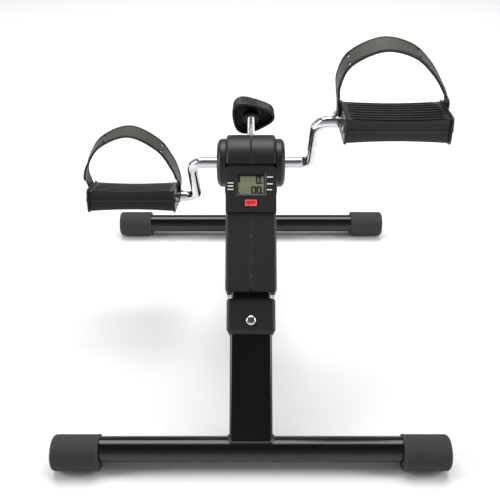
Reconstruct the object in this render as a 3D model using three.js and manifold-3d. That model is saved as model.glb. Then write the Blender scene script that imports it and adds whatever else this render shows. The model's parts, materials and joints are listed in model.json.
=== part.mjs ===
// Folding pedal exerciser: a steel stand with two floor bars, a crank head and two strapped pedals.
// Millimetres. +X is the user's right, +Y points away from the user, +Z is up.
// The origin is on the floor, midway between the two floor bars.

import * as THREE from 'three';
import { mergeVertices } from 'three/addons/utils/BufferGeometryUtils.js';
import Module from 'manifold-3d';

const wasm = await Module();
wasm.setup();

// ---------- Driving dimensions ----------

const DEG = Math.PI / 180;
const GAP = 0.3;               // clearance kept between pieces that touch

const BAR_SPACING = 430;       // between the axes of the two floor bars
const BAR_SPAN = 394;          // over the end caps
const BAR_R = 12.7;
const TUBE_WALL = 1.5;
const CAP_R = 18;
const CAP_LENGTH = 47;
const CAP_END_WALL = 3;
const CAP_DROP = 2.3;          // cap axis below the bar axis
const CAP_OUT = 2.5;           // cap axis outside the bar axis
const SOLE_WIDTH = 12;

const CRANK_HEIGHT = 228;      // crank axis above the floor
const LEG = { x: 21.5, y: 11.5, corner: 4 };     // half sizes of both leg tubes
const STUB = { x: 19.6, y: 9.6, corner: 3 };     // half sizes of the head's lower tube
const STUB_BOTTOM = -195;
const LEG_TOP = -154;

const HOUSING_X = 26.25;       // half width of the head housing
const HOUSING_WALL = 2.4;
const DRUM_R = 30;
const FRONT_Y = -24;           // front face of the housing's column
const BACK_Y = 22;
const HOUSING_BOTTOM = -145;
const BOTTOM_BEVEL = 4;
const BOTTOM_RISE = 9;         // the underside climbs this much from front to back
const BRACKET_NOTCH = -108;    // the housing's back stops here, above the hinge bracket

const DISPLAY = { x: 26.4, front: -26.3, back: -18, top: -10.8, bottom: -62.6, wall: 2.2 };
const WINDOW = { x: 14.2, top: -21.4, bottom: -42.7 };
const BUTTON = { x: 6.15, z: 3.35, middle: -52.75, proud: 0.6, tail: -21.5 };

const HINGE = { y: 36, z: -133 };       // fold pivot in the post's frame
const CHEEK = { inner: 23, outer: 25.4 };
const BRACKET_TOP = -112;
const BRACKET_BOTTOM = -143.5;
const LOCK_REACH = 26;                  // from the fold pivot to the lock pin
const PIVOT_R = 4;

const ROD_TILT = 65 * DEG;              // tension screw axis, from the vertical towards the rear
const ROD_R = 4;
const KNOB_UNDERSIDE = 63;              // from the crank axis
const KNOB_DEPTH = 16;
const KNOB_TURN = -6 * DEG;

const CRANK_RADIUS = 82;
const CRANK_ANGLE = 124.5 * DEG;        // right pedal, from +Y towards +Z
const CRANK_ROD_R = 6;
const CRANK_BEND = 13;
const ARM_X = 64.5;
const AXLE_END = 30;
const SPINDLE_START = 85.4;
const SPINDLE_R = 5;

const PEDAL_X = 139.5;                  // middle of a pedal
const PEDAL_HALF = 48.6;                // half length of its body
const PEDAL_DEPTH = 52;
const PEDAL_HEIGHT = 24;
const PEDAL_SAG = 1.8;                  // how far the tread dips in the middle
const PLATE_THICK = 2.2;
const PLATE = { y: 27.5, z: 14, corner: 5 };
const PEDAL_SCREW_Y = 20;
const SCREW_R = 2;                      // shank of a pedal screw
const RIGHT_PEDAL_TILT = -2 * DEG;
const LEFT_PEDAL_TILT = -16 * DEG;

const STRAP_WIDTH = 25;
const STRAP_THICK = 2.5;
const STRAP_Y = 14;                     // middle of the strap's ends, behind the spindle
const RIGHT_STRAP_LEAN = 14 * DEG;
const LEFT_STRAP_LEAN = 22 * DEG;

// ---------- Derived places ----------

const soleDrop = Math.sqrt(CAP_R ** 2 - (SOLE_WIDTH / 2) ** 2);
const barHeight = soleDrop + CAP_DROP;
const barY = BAR_SPACING / 2;
const postLength = Math.hypot(CRANK_HEIGHT - barHeight, barY);
const postTilt = Math.atan2(CRANK_HEIGHT - barHeight, barY) - Math.PI / 2;

const post = new THREE.Group();         // +Z runs up the front leg, -Y faces the user
post.position.set(0, 0, CRANK_HEIGHT);
post.rotation.x = postTilt;
post.updateMatrixWorld();

const hingePoint = new THREE.Vector3(0, HINGE.y, HINGE.z).applyMatrix4(post.matrixWorld);
const rearLegLength = Math.hypot(barY - hingePoint.y, hingePoint.z - barHeight);
const rearSlope = Math.atan2(hingePoint.z - barHeight, barY - hingePoint.y);
const rearTilt = Math.PI / 2 - rearSlope;

const rearLeg = new THREE.Group();      // +Z runs up the rear leg to the pivot
rearLeg.position.copy(hingePoint);
rearLeg.rotation.x = rearTilt;

const lockDirection = rearTilt - postTilt - Math.PI / 2;
const lockPoint = {
  y: HINGE.y + LOCK_REACH * Math.cos(lockDirection),
  z: HINGE.z + LOCK_REACH * Math.sin(lockDirection),
};

// ---------- Materials ----------

function finish(color, roughness, metalness) {
  return new THREE.MeshStandardMaterial({ color, roughness, metalness });
}

const blackPaint = finish(0x17181a, 0.3, 0.4);
const housingPlastic = finish(0x3a3b3d, 0.5, 0);
const pedalPlastic = finish(0x2b2c2e, 0.5, 0);
const capRubber = finish(0x3f403e, 0.75, 0);
const strapRubber = finish(0x565450, 0.6, 0);
const chromePlate = finish(0xd5d8dc, 0.12, 1);
const zincPlate = finish(0xb9bcc0, 0.35, 1);
const steel = finish(0x8f9296, 0.35, 1);
const whiteNylon = finish(0xe6e4dc, 0.5, 0);
const redPlastic = finish(0xd01e26, 0.4, 0);
const lcdGlass = finish(0x7f8466, 0.3, 0);
const clearWindow = finish(0xdfe6e4, 0.05, 0);
const boardGreen = finish(0x1f5a34, 0.5, 0);
const brassPad = finish(0xa98a45, 0.4, 1);

// ---------- Shape tools ----------

function signedVolume(points, index) {
  let sum = 0;
  const [a, b, c] = [new THREE.Vector3(), new THREE.Vector3(), new THREE.Vector3()];
  for (let i = 0; i < index.length; i += 3) {
    a.fromBufferAttribute(points, index[i]);
    b.fromBufferAttribute(points, index[i + 1]);
    c.fromBufferAttribute(points, index[i + 2]);
    sum += a.dot(b.cross(c));
  }
  return sum / 6;
}

// One closed shell with shared corners, no empty faces, and its faces pointing out.
function sealed(geometry) {
  const bare = new THREE.BufferGeometry();
  bare.setAttribute('position', geometry.getAttribute('position').clone());
  if (geometry.index) bare.setIndex(geometry.index.clone());
  const merged = mergeVertices(bare, 1e-4);
  const source = merged.index.array;
  const index = [];
  for (let i = 0; i < source.length; i += 3) {
    const [a, b, c] = [source[i], source[i + 1], source[i + 2]];
    if (a !== b && b !== c && c !== a) index.push(a, b, c);
  }
  if (signedVolume(merged.getAttribute('position'), index) < 0) index.reverse();
  merged.setIndex(index);
  return merged;
}

function toSolid(geometry) {
  const shell = sealed(geometry);
  const vertProperties = Float32Array.from(shell.getAttribute('position').array);
  const triVerts = Uint32Array.from(shell.index.array);
  return new wasm.Manifold(new wasm.Mesh({ numProp: 3, vertProperties, triVerts }));
}

function toGeometry(solid) {
  const mesh = solid.getMesh();
  const geometry = new THREE.BufferGeometry();
  geometry.setAttribute('position', new THREE.Float32BufferAttribute(mesh.vertProperties, 3));
  geometry.setIndex(Array.from(mesh.triVerts));
  return geometry;
}

const combine = (verb, first, rest) =>
  toGeometry(rest.reduce((solid, next) => solid[verb](toSolid(next)), toSolid(first)));
const join = (first, ...rest) => combine('add', first, rest);
const cut = (first, ...rest) => combine('subtract', first, rest);
const overlap = (first, ...rest) => combine('intersect', first, rest);

const toShape = (points) => new THREE.Shape(points.map(([u, v]) => new THREE.Vector2(u, v)));

function prism(outline, from, to, across, up, along, hole) {
  const shape = toShape(outline);
  if (hole) shape.holes.push(new THREE.Path(toShape(hole).getPoints()));
  const geometry = new THREE.ExtrudeGeometry(shape, { depth: to - from, bevelEnabled: false });
  geometry.translate(0, 0, from);
  return geometry.applyMatrix4(new THREE.Matrix4().makeBasis(across, up, along));
}

const X = new THREE.Vector3(1, 0, 0);
const Y = new THREE.Vector3(0, 1, 0);
const Z = new THREE.Vector3(0, 0, 1);
// An outline of (y, z) points along X, of (x, z) points along Y, or of (x, y) points along Z.
const prismX = (outline, from, to, hole) => prism(outline, from, to, Y, Z, X, hole);
const prismY = (outline, from, to, hole) => prism(outline, -to, -from, X, Z, Y.clone().negate(), hole);
const prismZ = (outline, from, to, hole) => prism(outline, from, to, X, Y, Z, hole);

function arc(y, z, radius, start, end, steps) {
  return Array.from({ length: steps + 1 }, (_, i) => {
    const angle = start + ((end - start) * i) / steps;
    return [y + radius * Math.cos(angle), z + radius * Math.sin(angle)];
  });
}

const circle = (y, z, radius, sides) => arc(y, z, radius, 0, 2 * Math.PI, sides).slice(0, sides);

function roundRect(halfWidth, halfDepth, corner, steps = 3) {
  const [u, v] = [halfWidth - corner, halfDepth - corner];
  return [
    ...arc(u, v, corner, 0, 90 * DEG, steps),
    ...arc(-u, v, corner, 90 * DEG, 180 * DEG, steps),
    ...arc(-u, -v, corner, 180 * DEG, 270 * DEG, steps),
    ...arc(u, -v, corner, 270 * DEG, 360 * DEG, steps),
  ];
}

function box(x0, x1, y0, y1, z0, z1) {
  return new THREE.BoxGeometry(x1 - x0, y1 - y0, z1 - z0)
    .translate((x0 + x1) / 2, (y0 + y1) / 2, (z0 + z1) / 2);
}

const rodX = (radius, x0, x1, y = 0, z = 0, sides = 24) => prismX(circle(y, z, radius, sides), x0, x1);

// A rod along a direction in the YZ plane, from one distance to another.
function rodAlong(radius, angle, from, to, sides = 20) {
  const rod = new THREE.CylinderGeometry(radius, radius, to - from, sides);
  return rod.translate(0, (from + to) / 2, 0).rotateX(angle);
}

// A closed profile of (x, radius) points turned about the X axis.
function turned(profile, sides) {
  const loop = [...profile, profile[0]].map(([x, radius]) => new THREE.Vector2(radius, x));
  return new THREE.LatheGeometry(loop, sides).rotateZ(-90 * DEG);
}

// A skin through outlines that all have the same number of points, closed at both ends.
function loft(rings) {
  const count = rings[0].length;
  const positions = rings.flat(2);
  const index = [];
  for (let r = 0; r + 1 < rings.length; r += 1) {
    for (let i = 0; i < count; i += 1) {
      const [a, b] = [r * count + i, r * count + ((i + 1) % count)];
      index.push(a, b, b + count, a, b + count, a + count);
    }
  }
  const flat = (ring, u, v) => ring.map((p) => new THREE.Vector2(p[u], p[v]));
  const alongX = rings[0].every((p) => p[0] === rings[0][0][0]);
  const ends = THREE.ShapeUtils.triangulateShape(flat(rings[0], alongX ? 1 : 0, alongX ? 2 : 1), []);
  const last = (rings.length - 1) * count;
  for (const [a, b, c] of ends) index.push(a, c, b, last + a, last + b, last + c);
  const geometry = new THREE.BufferGeometry();
  geometry.setAttribute('position', new THREE.Float32BufferAttribute(positions, 3));
  geometry.setIndex(index);
  return geometry;
}

const mirrored = (geometry) => geometry.clone().scale(-1, 1, 1);

const product = new THREE.Group();
product.add(post, rearLeg);

function place(group, name, geometry, material) {
  const mesh = new THREE.Mesh(sealed(geometry), material);
  mesh.name = name;
  group.add(mesh);
  return mesh;
}

// ---------- Floor bars and end caps ----------

function crossbar() {
  const end = BAR_SPAN / 2 - CAP_END_WALL - GAP;
  return prismX(circle(0, 0, BAR_R, 28), -end, end, circle(0, 0, BAR_R - TUBE_WALL, 28));
}

// outward is -1 for the front bar and +1 for the rear bar: the cap hangs low and towards that side.
function endCap(outward) {
  const [inner, outer] = [BAR_SPAN / 2 - CAP_LENGTH, BAR_SPAN / 2];
  const rounding = 3.5;
  const profile = [
    [inner, 0], [inner, CAP_R - 0.8], [inner + 0.8, CAP_R], [outer - rounding, CAP_R],
    [outer - rounding * 0.3, CAP_R - rounding * 0.3], [outer, CAP_R - rounding * 1.2], [outer, 0],
  ];
  const bore = rodX(BAR_R + GAP, inner - 1, outer - CAP_END_WALL, -outward * CAP_OUT, CAP_DROP, 28);
  const above = box(0, BAR_SPAN, -CAP_R - 1, CAP_R + 1, -soleDrop, CAP_R + 1);
  return overlap(cut(turned(profile, 28), bore), above);
}

for (const [end, outward] of [['front', -1], ['rear', 1]]) {
  const bar = place(product, `${end}_crossbar`, crossbar(), blackPaint);
  bar.position.set(0, outward * barY, barHeight);
  const cap = endCap(outward);
  for (const [side, shape] of [['left', mirrored(cap)], ['right', cap]]) {
    const piece = place(product, `${end}_cap_${side}`, shape, capRubber);
    piece.position.set(0, outward * (barY + CAP_OUT), soleDrop);
  }
}

// ---------- Front leg, collar and screw ----------

const SCREW_Z = -173;
const SCREW_SHANK_R = 2.5;
const COLLAR = { x: 25, y: 15, top: -150, bottom: -187, corner: 4 };

function legTube(top, bottom) {
  return prismZ(
    roundRect(LEG.x, LEG.y, LEG.corner), bottom, top,
    roundRect(LEG.x - TUBE_WALL, LEG.y - TUBE_WALL, LEG.corner - TUBE_WALL),
  );
}

const screwHole = rodAlong(SCREW_SHANK_R + GAP, 0, -30, 0, 12).translate(0, 0, SCREW_Z);

place(post, 'front_leg_tube', cut(
  legTube(LEG_TOP, -postLength),
  rodX(BAR_R + GAP, -30, 30, 0, -postLength, 28),
  screwHole,
), blackPaint);

function collar() {
  const ring = (z, inset) => roundRect(COLLAR.x - inset, COLLAR.y - inset, COLLAR.corner)
    .map(([x, y]) => [x, y, z]);
  const body = loft([
    ring(COLLAR.bottom, 3), ring(COLLAR.bottom + 4.5, 0), ring(COLLAR.top - 2.5, 0),
    ring(COLLAR.top - 0.7, 0.8), ring(COLLAR.top, 2.5),
  ]);
  const legRoom = roundRect(LEG.x + GAP, LEG.y + GAP, LEG.corner);
  const stubRoom = roundRect(STUB.x + GAP, STUB.y + GAP, STUB.corner);
  return cut(
    body,
    prismZ(legRoom, COLLAR.bottom - 1, LEG_TOP + GAP),
    prismZ(stubRoom, COLLAR.bottom - 1, COLLAR.top + 1),
    screwHole,
  );
}

place(post, 'leg_collar', collar(), housingPlastic);

function collarScrew() {
  const [headR, headTop] = [5.3, 2.4];
  const profile = [[-GAP, 0], [-GAP, headR], [-1.2, headR - 0.3], [-headTop, headR - 2.6], [-headTop, 0]];
  const head = turned(profile, 20).rotateZ(90 * DEG);
  const slots = [box(-2.6, 2.6, -headTop - 1, -headTop + 1.4, -0.6, 0.6),
    box(-0.6, 0.6, -headTop - 1, -headTop + 1.4, -2.6, 2.6)];
  const shank = rodAlong(SCREW_SHANK_R, 0, -0.5, 8.5, 12);
  return cut(join(head, shank), ...slots).translate(0, -COLLAR.y, SCREW_Z);
}

place(post, 'collar_screw', collarScrew(), chromePlate);

// ---------- Head frame: lower tube, crank shell and screw boss ----------

const SHELL = { outer: 17, bore: 14, half: 22 };
const rodAngle = 90 * DEG - ROD_TILT - postTilt;       // about X, from the post's +Y axis
const BOSS_R = 8;
const BOSS_TOP = 24;

place(post, 'head_frame', cut(
  join(
    prismZ(
      roundRect(STUB.x, STUB.y, STUB.corner), STUB_BOTTOM, 0,
      roundRect(STUB.x - TUBE_WALL, STUB.y - TUBE_WALL, STUB.corner - TUBE_WALL),
    ),
    rodX(SHELL.outer, -SHELL.half, SHELL.half, 0, 0, 28),
    rodAlong(BOSS_R, rodAngle, SHELL.bore, BOSS_TOP),
  ),
  rodX(SHELL.bore, -SHELL.half - 1, SHELL.half + 1, 0, 0, 28),
  rodAlong(ROD_R + GAP * 2, rodAngle, 5, BOSS_TOP + 1),
  screwHole,
), blackPaint);

const BUSH = { start: 9, inner: CRANK_ROD_R + 0.35, outer: SHELL.bore - 0.4 };
const bush = turned([
  [BUSH.start, BUSH.inner], [BUSH.start, BUSH.outer], [SHELL.half, BUSH.outer], [SHELL.half, BUSH.inner],
], 24);
place(post, 'bush_left', mirrored(bush), whiteNylon);
place(post, 'bush_right', bush, whiteNylon);

// ---------- Fold hinge: bracket, pivot bolt and nut, lock barrel and pin ----------

const LOCK_PIN_R = 3.5;
const LOCK = {
  nose: LEG.y + GAP * 4, bridge: 15, thick: 2.5, barrelEnd: 29, knobStart: 31, knobEnd: 41,
};                                      // heights above the rear leg's middle line
const LOCK_BARREL_R = 7;
const LOCK_KNOB_R = 8.5;
const PIVOT_HEAD_R = 6;

// Moves a shape drawn at the origin, rising along +Z, to the lock point, square to the rear leg.
const atLock = (geometry) => geometry.rotateX(lockDirection).translate(0, lockPoint.y, lockPoint.z);

function hingeBracket() {
  const webFront = STUB.y + GAP;
  const along = [Math.cos(lockDirection), Math.sin(lockDirection)];
  const corner = (reach, rise) => [
    HINGE.y + reach * along[0] - rise * along[1], HINGE.z + reach * along[1] + rise * along[0],
  ];
  const cheek = [
    [webFront, BRACKET_BOTTOM], ...arc(HINGE.y, HINGE.z, 10.5, -90 * DEG, -50 * DEG, 3),
    corner(LOCK_REACH + 12, -4), corner(LOCK_REACH + 12, LOCK.bridge + LOCK.thick),
    corner(LOCK_REACH - 12, LOCK.bridge + LOCK.thick), [webFront, BRACKET_TOP],
  ];
  const cheeks = [prismX(cheek, CHEEK.inner, CHEEK.outer), prismX(cheek, -CHEEK.outer, -CHEEK.inner)];
  const web = box(-CHEEK.outer, CHEEK.outer, webFront, webFront + 2.5, BRACKET_BOTTOM, BRACKET_TOP);
  const bridge = atLock(box(-CHEEK.outer, CHEEK.outer, -11, 11, LOCK.bridge, LOCK.bridge + LOCK.thick));
  return cut(
    join(web, ...cheeks, bridge),
    rodX(PIVOT_R + GAP, -30, 30, HINGE.y, HINGE.z, 16),
    atLock(prismZ(circle(0, 0, LOCK_PIN_R + GAP, 16), 0, LOCK.barrelEnd)),
  );
}

place(post, 'hinge_bracket', hingeBracket(), zincPlate);

const atHinge = (geometry) => geometry.translate(0, HINGE.y, HINGE.z);
const headStart = CHEEK.outer + GAP;
const lowHead = [
  [headStart, PIVOT_HEAD_R], [headStart + 1, PIVOT_HEAD_R], [headStart + 1.9, PIVOT_HEAD_R - 1.5],
];
const pivotBolt = join(
  rodX(PIVOT_R, -headStart - 0.5, headStart + 1.9, 0, 0, 16),
  mirrored(turned([[headStart, 0], ...lowHead, [headStart + 1.9, 0]], 20)),
);
const pivotNut = turned([[headStart, PIVOT_R + GAP], ...lowHead, [headStart + 1.9, PIVOT_R + GAP]], 20);
place(post, 'pivot_bolt', atHinge(pivotBolt), zincPlate);
place(post, 'pivot_nut', atHinge(pivotNut), zincPlate);

// A closed profile of (height, radius) points turned about Z, then set on the lock's axis.
const turnedOnLock = (profile) => atLock(turned(profile, 20).rotateY(-90 * DEG));
const barrelStart = LOCK.bridge + LOCK.thick + GAP;
place(post, 'lock_barrel', turnedOnLock([
  [barrelStart, LOCK_PIN_R + GAP], [barrelStart, LOCK_BARREL_R + 2], [barrelStart + 3, LOCK_BARREL_R + 2],
  [barrelStart + 3, LOCK_BARREL_R], [LOCK.barrelEnd, LOCK_BARREL_R], [LOCK.barrelEnd, LOCK_PIN_R + GAP],
]), zincPlate);
place(post, 'lock_pin', turnedOnLock([
  [LOCK.nose, 0], [LOCK.nose, LOCK_PIN_R], [LOCK.knobStart, LOCK_PIN_R], [LOCK.knobStart, LOCK_KNOB_R - 2],
  [LOCK.knobStart + 2, LOCK_KNOB_R], [LOCK.knobEnd - 2, LOCK_KNOB_R], [LOCK.knobEnd, LOCK_KNOB_R - 2],
  [LOCK.knobEnd, 0],
]), blackPaint);

// ---------- Rear leg ----------

function rearLegTube() {
  const outline = [...arc(0, 0, LEG.y, 0, 180 * DEG, 10), [-LEG.y, -rearLegLength], [LEG.y, -rearLegLength]];
  const tube = overlap(legTube(LEG.y, -rearLegLength), prismX(outline, -30, 30));
  return cut(
    tube,
    rodX(BAR_R + GAP, -30, 30, 0, -rearLegLength, 28),
    rodX(PIVOT_R + GAP, -30, 30, 0, 0, 16),
    prismY(circle(0, -LOCK_REACH, LOCK_PIN_R + GAP, 16), 0, LEG.y + 1),
  );
}

place(rearLeg, 'rear_leg_tube', rearLegTube(), blackPaint);

// ---------- Head housing ----------

const screwSpots = [[-16, 15], [-16, -85], [-16, -128]];
const HOUSING_SCREW_R = 1.7;
const HEAD_R = 3.4;

// Side outline of the housing, drawn in by inset all round.
function housingOutline(inset) {
  const radius = DRUM_R - inset;
  const front = FRONT_Y + inset;
  const back = BACK_Y - inset;
  const recess = DISPLAY.back + GAP + inset;
  const recessTop = DISPLAY.top + GAP + inset;
  const start = Math.PI + Math.asin(-recessTop / radius);
  const end = -Math.acos(back / radius);
  return [
    ...arc(0, 0, radius, start, end, 22),
    [back, BRACKET_NOTCH + inset],
    [STUB.y + GAP * 0.5, BRACKET_NOTCH + inset],
    [STUB.y + GAP * 0.5, HOUSING_BOTTOM + inset + BOTTOM_RISE],
    [front + BOTTOM_BEVEL, HOUSING_BOTTOM + inset],
    [front, HOUSING_BOTTOM + inset + BOTTOM_BEVEL],
    [front, DISPLAY.bottom - GAP - inset],
    [recess, DISPLAY.bottom - GAP - inset],
    [recess, recessTop],
  ];
}

function housingHalf(isRight) {
  const inner = prismX(housingOutline(HOUSING_WALL), -1, HOUSING_X - HOUSING_WALL);
  const shell = cut(prismX(housingOutline(0), GAP / 2, HOUSING_X), inner);
  const posts = screwSpots.map(([y, z]) => rodX(HEAD_R + 0.6, GAP / 2, HOUSING_X - 1, y, z, 12));
  const depth = isRight ? HOUSING_X + 1 : 14;
  const holes = screwSpots.map(([y, z]) => rodX(HOUSING_SCREW_R + GAP, -1, depth, y, z, 12));
  const sinks = isRight ? screwSpots.map(([y, z]) => rodX(HEAD_R + GAP, HOUSING_X - 2.6, 30, y, z, 12)) : [];
  return cut(
    join(shell, ...posts),
    rodX(CRANK_ROD_R + 1.5, -1, HOUSING_X + 1),
    rodAlong(ROD_R + 1, rodAngle, 18, DRUM_R + 2),
    prismZ(roundRect(STUB.x + GAP, STUB.y + GAP, STUB.corner), HOUSING_BOTTOM - 1, BRACKET_NOTCH),
    ...holes,
    ...sinks,
  );
}

place(post, 'housing_left', mirrored(housingHalf(false)), housingPlastic);
place(post, 'housing_right', housingHalf(true), housingPlastic);

screwSpots.forEach(([y, z], i) => {
  const head = rodX(HEAD_R, HOUSING_X - 2.3, HOUSING_X - 0.2, y, z, 12);
  const shank = rodX(HOUSING_SCREW_R, -12, HOUSING_X - 2, y, z, 10);
  place(post, `housing_screw_${i + 1}`, join(head, shank), zincPlate);
});

// ---------- Side covers ----------

const COVER = { start: HOUSING_X + GAP, end: 36.5, radius: 26, wall: 2.2 };
const cover = turned([
  [COVER.start, COVER.radius - COVER.wall], [COVER.start, COVER.radius], [COVER.end - 5, COVER.radius],
  [COVER.end - 2.4, COVER.radius - 1.3], [COVER.end - 0.6, COVER.radius - 4], [COVER.end, COVER.radius - 8],
  [COVER.end, CRANK_ROD_R + 0.6], [COVER.end - COVER.wall, CRANK_ROD_R + 0.6],
  [COVER.end - COVER.wall, COVER.radius - 8], [COVER.end - 4, COVER.radius - COVER.wall],
], 28);
place(post, 'side_cover_left', mirrored(cover), pedalPlastic);
place(post, 'side_cover_right', cover, pedalPlastic);

// ---------- Display module ----------

function displayBezel() {
  const { x, front, back, top, bottom, wall } = DISPLAY;
  const shell = box(-x, x, front, back, bottom, top);
  const hollow = box(-x + wall, x - wall, front + wall, back + 1, bottom + wall, top - wall);
  const opening = box(-WINDOW.x, WINDOW.x, front - 1, front + wall + 1, WINDOW.bottom, WINDOW.top);
  const keyHole = box(
    -BUTTON.x - GAP, BUTTON.x + GAP, front - 1, front + wall + 1,
    BUTTON.middle - BUTTON.z - GAP, BUTTON.middle + BUTTON.z + GAP,
  );
  return cut(shell, hollow, opening, keyHole);
}

const layer = (halfX, front, thick, bottom, top) => box(-halfX, halfX, front, front + thick, bottom, top);
const windowFront = DISPLAY.front + DISPLAY.wall + GAP;
const lcdFront = windowFront + 1 + GAP;
const boardFront = lcdFront + 2 + GAP;
const CELL = { x: -14, radius: 5.8, thick: 2.7 };
place(post, 'display_bezel', displayBezel(), housingPlastic);
place(post, 'display_window', layer(17, windowFront, 1, -46, -18.5), clearWindow);
place(post, 'lcd_panel', layer(16.5, lcdFront, 2, -45.5, -19), lcdGlass);
place(post, 'display_board', layer(22, boardFront, 1.4, -59, -14), boardGreen);
place(
  post, 'button_cell',
  rodAlong(CELL.radius, 0, boardFront - GAP - CELL.thick, boardFront - GAP, 20)
    .translate(CELL.x, 0, BUTTON.middle), steel,
);
place(post, 'reset_button', box(
  -BUTTON.x, BUTTON.x, DISPLAY.front - BUTTON.proud, BUTTON.tail,
  BUTTON.middle - BUTTON.z, BUTTON.middle + BUTTON.z,
), redPlastic);
place(post, 'reed_switch', rodX(1.4, COVER.start + 1, COVER.end - 4, 0, -19.5, 10), lcdGlass);

// ---------- Tension screw, knob and brake shoe ----------

const PAD = { radius: 5.5, start: CRANK_ROD_R + 0.6, end: 10 };      // distances from the crank axis
place(post, 'brake_shoe', rodAlong(PAD.radius, rodAngle, PAD.start, PAD.end, 16), brassPad);
const ROD_IN_KNOB = 8;
const rodEnd = KNOB_UNDERSIDE + ROD_IN_KNOB;
place(post, 'tension_rod', rodAlong(ROD_R, rodAngle, PAD.end + GAP, rodEnd, 20), chromePlate);

// Three-lobed outline of the knob, drawn in by inset.
function knobOutline(inset, sides) {
  return Array.from({ length: sides }, (_, i) => {
    const angle = (2 * Math.PI * i) / sides;
    const lobe = 3 * (angle - KNOB_TURN);
    const radius = 23.6 + 3.1 * Math.cos(lobe) + 0.4 * Math.cos(2 * lobe) - inset;
    return [radius * Math.cos(angle), radius * Math.sin(angle)];
  });
}

function knob() {
  const sides = 36;
  const ring = (z, inset) => knobOutline(inset, sides).map(([x, y]) => [x, y, z]);
  const body = loft([ring(0, 0), ring(11.5, 0.8), ring(14.2, 2.2), ring(KNOB_DEPTH, 6)]);
  const recess = loft([ring(-1, 2.5), ring(7, 3)]);
  const upright = (radius, from, to) => prismZ(circle(0, 0, radius, 20), from, to);
  const hub = upright(9, 0, 10);
  const socket = upright(ROD_R + GAP, -1, ROD_IN_KNOB + GAP);
  const shape = cut(join(cut(body, recess), hub), socket);
  // The knob's own +Z becomes the screw axis; its +Y points up.
  return shape.translate(0, 0, KNOB_UNDERSIDE).rotateX(rodAngle - 90 * DEG);
}

place(post, 'tension_knob', knob(), pedalPlastic);

// ---------- Cranks ----------

const crank = new THREE.Group();        // +Y points from the crank axis to the right pedal
crank.position.set(0, 0, CRANK_HEIGHT);
crank.rotation.x = CRANK_ANGLE;
product.add(crank);

function crankArm() {
  const path = new THREE.CurvePath();
  const point = (x, y) => new THREE.Vector3(x, y, 0);
  const far = CRANK_RADIUS;
  const start = point(AXLE_END + GAP, 0);
  const bendIn = point(ARM_X - CRANK_BEND, 0);
  const armStart = point(ARM_X, CRANK_BEND);
  const armEnd = point(ARM_X, far - CRANK_BEND);
  const bendOut = point(ARM_X + CRANK_BEND, far);
  path.add(new THREE.LineCurve3(start, bendIn));
  path.add(quarterBend(bendIn, point(ARM_X, 0), armStart));
  path.add(new THREE.LineCurve3(armStart, armEnd));
  path.add(quarterBend(armEnd, point(ARM_X, far), bendOut));
  path.add(new THREE.LineCurve3(bendOut, point(SPINDLE_START - GAP, far)));
  const section = toShape(circle(0, 0, CRANK_ROD_R, 12));
  return new THREE.ExtrudeGeometry(section, { steps: 28, extrudePath: path });
}

// A cubic curve that follows a quarter circle.
function quarterBend(from, corner, to) {
  const pull = 0.5523;
  return new THREE.CubicBezierCurve3(
    from, from.clone().lerp(corner, pull), to.clone().lerp(corner, pull), to,
  );
}

const arm = crankArm();
place(crank, 'crank_axle', rodX(CRANK_ROD_R, -AXLE_END, AXLE_END), steel);
place(crank, 'crank_arm_right', arm, chromePlate);
place(crank, 'crank_arm_left', arm.clone().rotateZ(180 * DEG), chromePlate);

const couplerStart = COVER.start + 0.5;
const couplerEnd = COVER.end - COVER.wall - 0.5;
const COUPLER_R = 10;
const coupler = prismX(
  circle(0, 0, COUPLER_R, 20), couplerStart, couplerEnd, circle(0, 0, CRANK_ROD_R + GAP, 20),
);
place(crank, 'crank_coupler_right', coupler, steel);
place(crank, 'crank_coupler_left', mirrored(coupler), steel);
place(crank, 'sensor_magnet', box(
  couplerStart, couplerEnd, -2.5, 2.5, COUPLER_R + GAP, COUPLER_R + 4,
), steel);

function spindle() {
  const end = PEDAL_X + PEDAL_HALF + GAP + PLATE_THICK;
  const profile = [
    [SPINDLE_START, 0], [SPINDLE_START, SPINDLE_R], [end + GAP, SPINDLE_R], [end + GAP, SPINDLE_R + 2],
    [end + 2.5, SPINDLE_R + 2], [end + 3.6, SPINDLE_R], [end + 3.6, 0],
  ];
  return turned(profile, 20).translate(0, CRANK_RADIUS, 0);
}

place(crank, 'spindle_right', spindle(), steel);
place(crank, 'spindle_left', spindle().rotateZ(180 * DEG), steel);

// ---------- Pedals ----------

// Ribbed cross-section of the pedal body; dip lowers the treads.
function pedalSection(x, dip) {
  const [ribs, pitch, ribHeight] = [7, 6.4, 1.3];
  const top = PEDAL_HEIGHT / 2 - dip;
  const edge = PEDAL_DEPTH / 2;
  const tread = [[edge - 1, top]];
  for (let i = 0; i < ribs; i += 1) {
    const middle = pitch * ((ribs - 1) / 2 - i);
    tread.push([middle + 2.4, top - ribHeight], [middle + 1.5, top], [middle - 1.5, top]);
    tread.push([middle - 2.4, top - ribHeight]);
  }
  tread.push([-edge + 1, top]);
  const underside = tread.map(([y, z]) => [-y, -z]);
  const half = [...tread, [-edge, 0]];
  return [...half, ...underside, [edge, 0]].map(([y, z]) => [x, y, z]);
}

function pedalBody() {
  const stations = [-1, -0.5, 0, 0.5, 1];
  const body = loft(stations.map((t) => pedalSection(t * PEDAL_HALF, PEDAL_SAG * (1 - t * t))));
  const screwHoles = [];
  for (const y of [-PEDAL_SCREW_Y, PEDAL_SCREW_Y]) {
    screwHoles.push(rodX(SCREW_R + GAP, PEDAL_HALF - 12, PEDAL_HALF + 1, y, 0, 10));
    screwHoles.push(rodX(SCREW_R + GAP, -PEDAL_HALF - 1, -PEDAL_HALF + 12, y, 0, 10));
  }
  return cut(body, rodX(SPINDLE_R + 0.6, -60, 60, 0, 0, 20), ...screwHoles);
}

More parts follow.
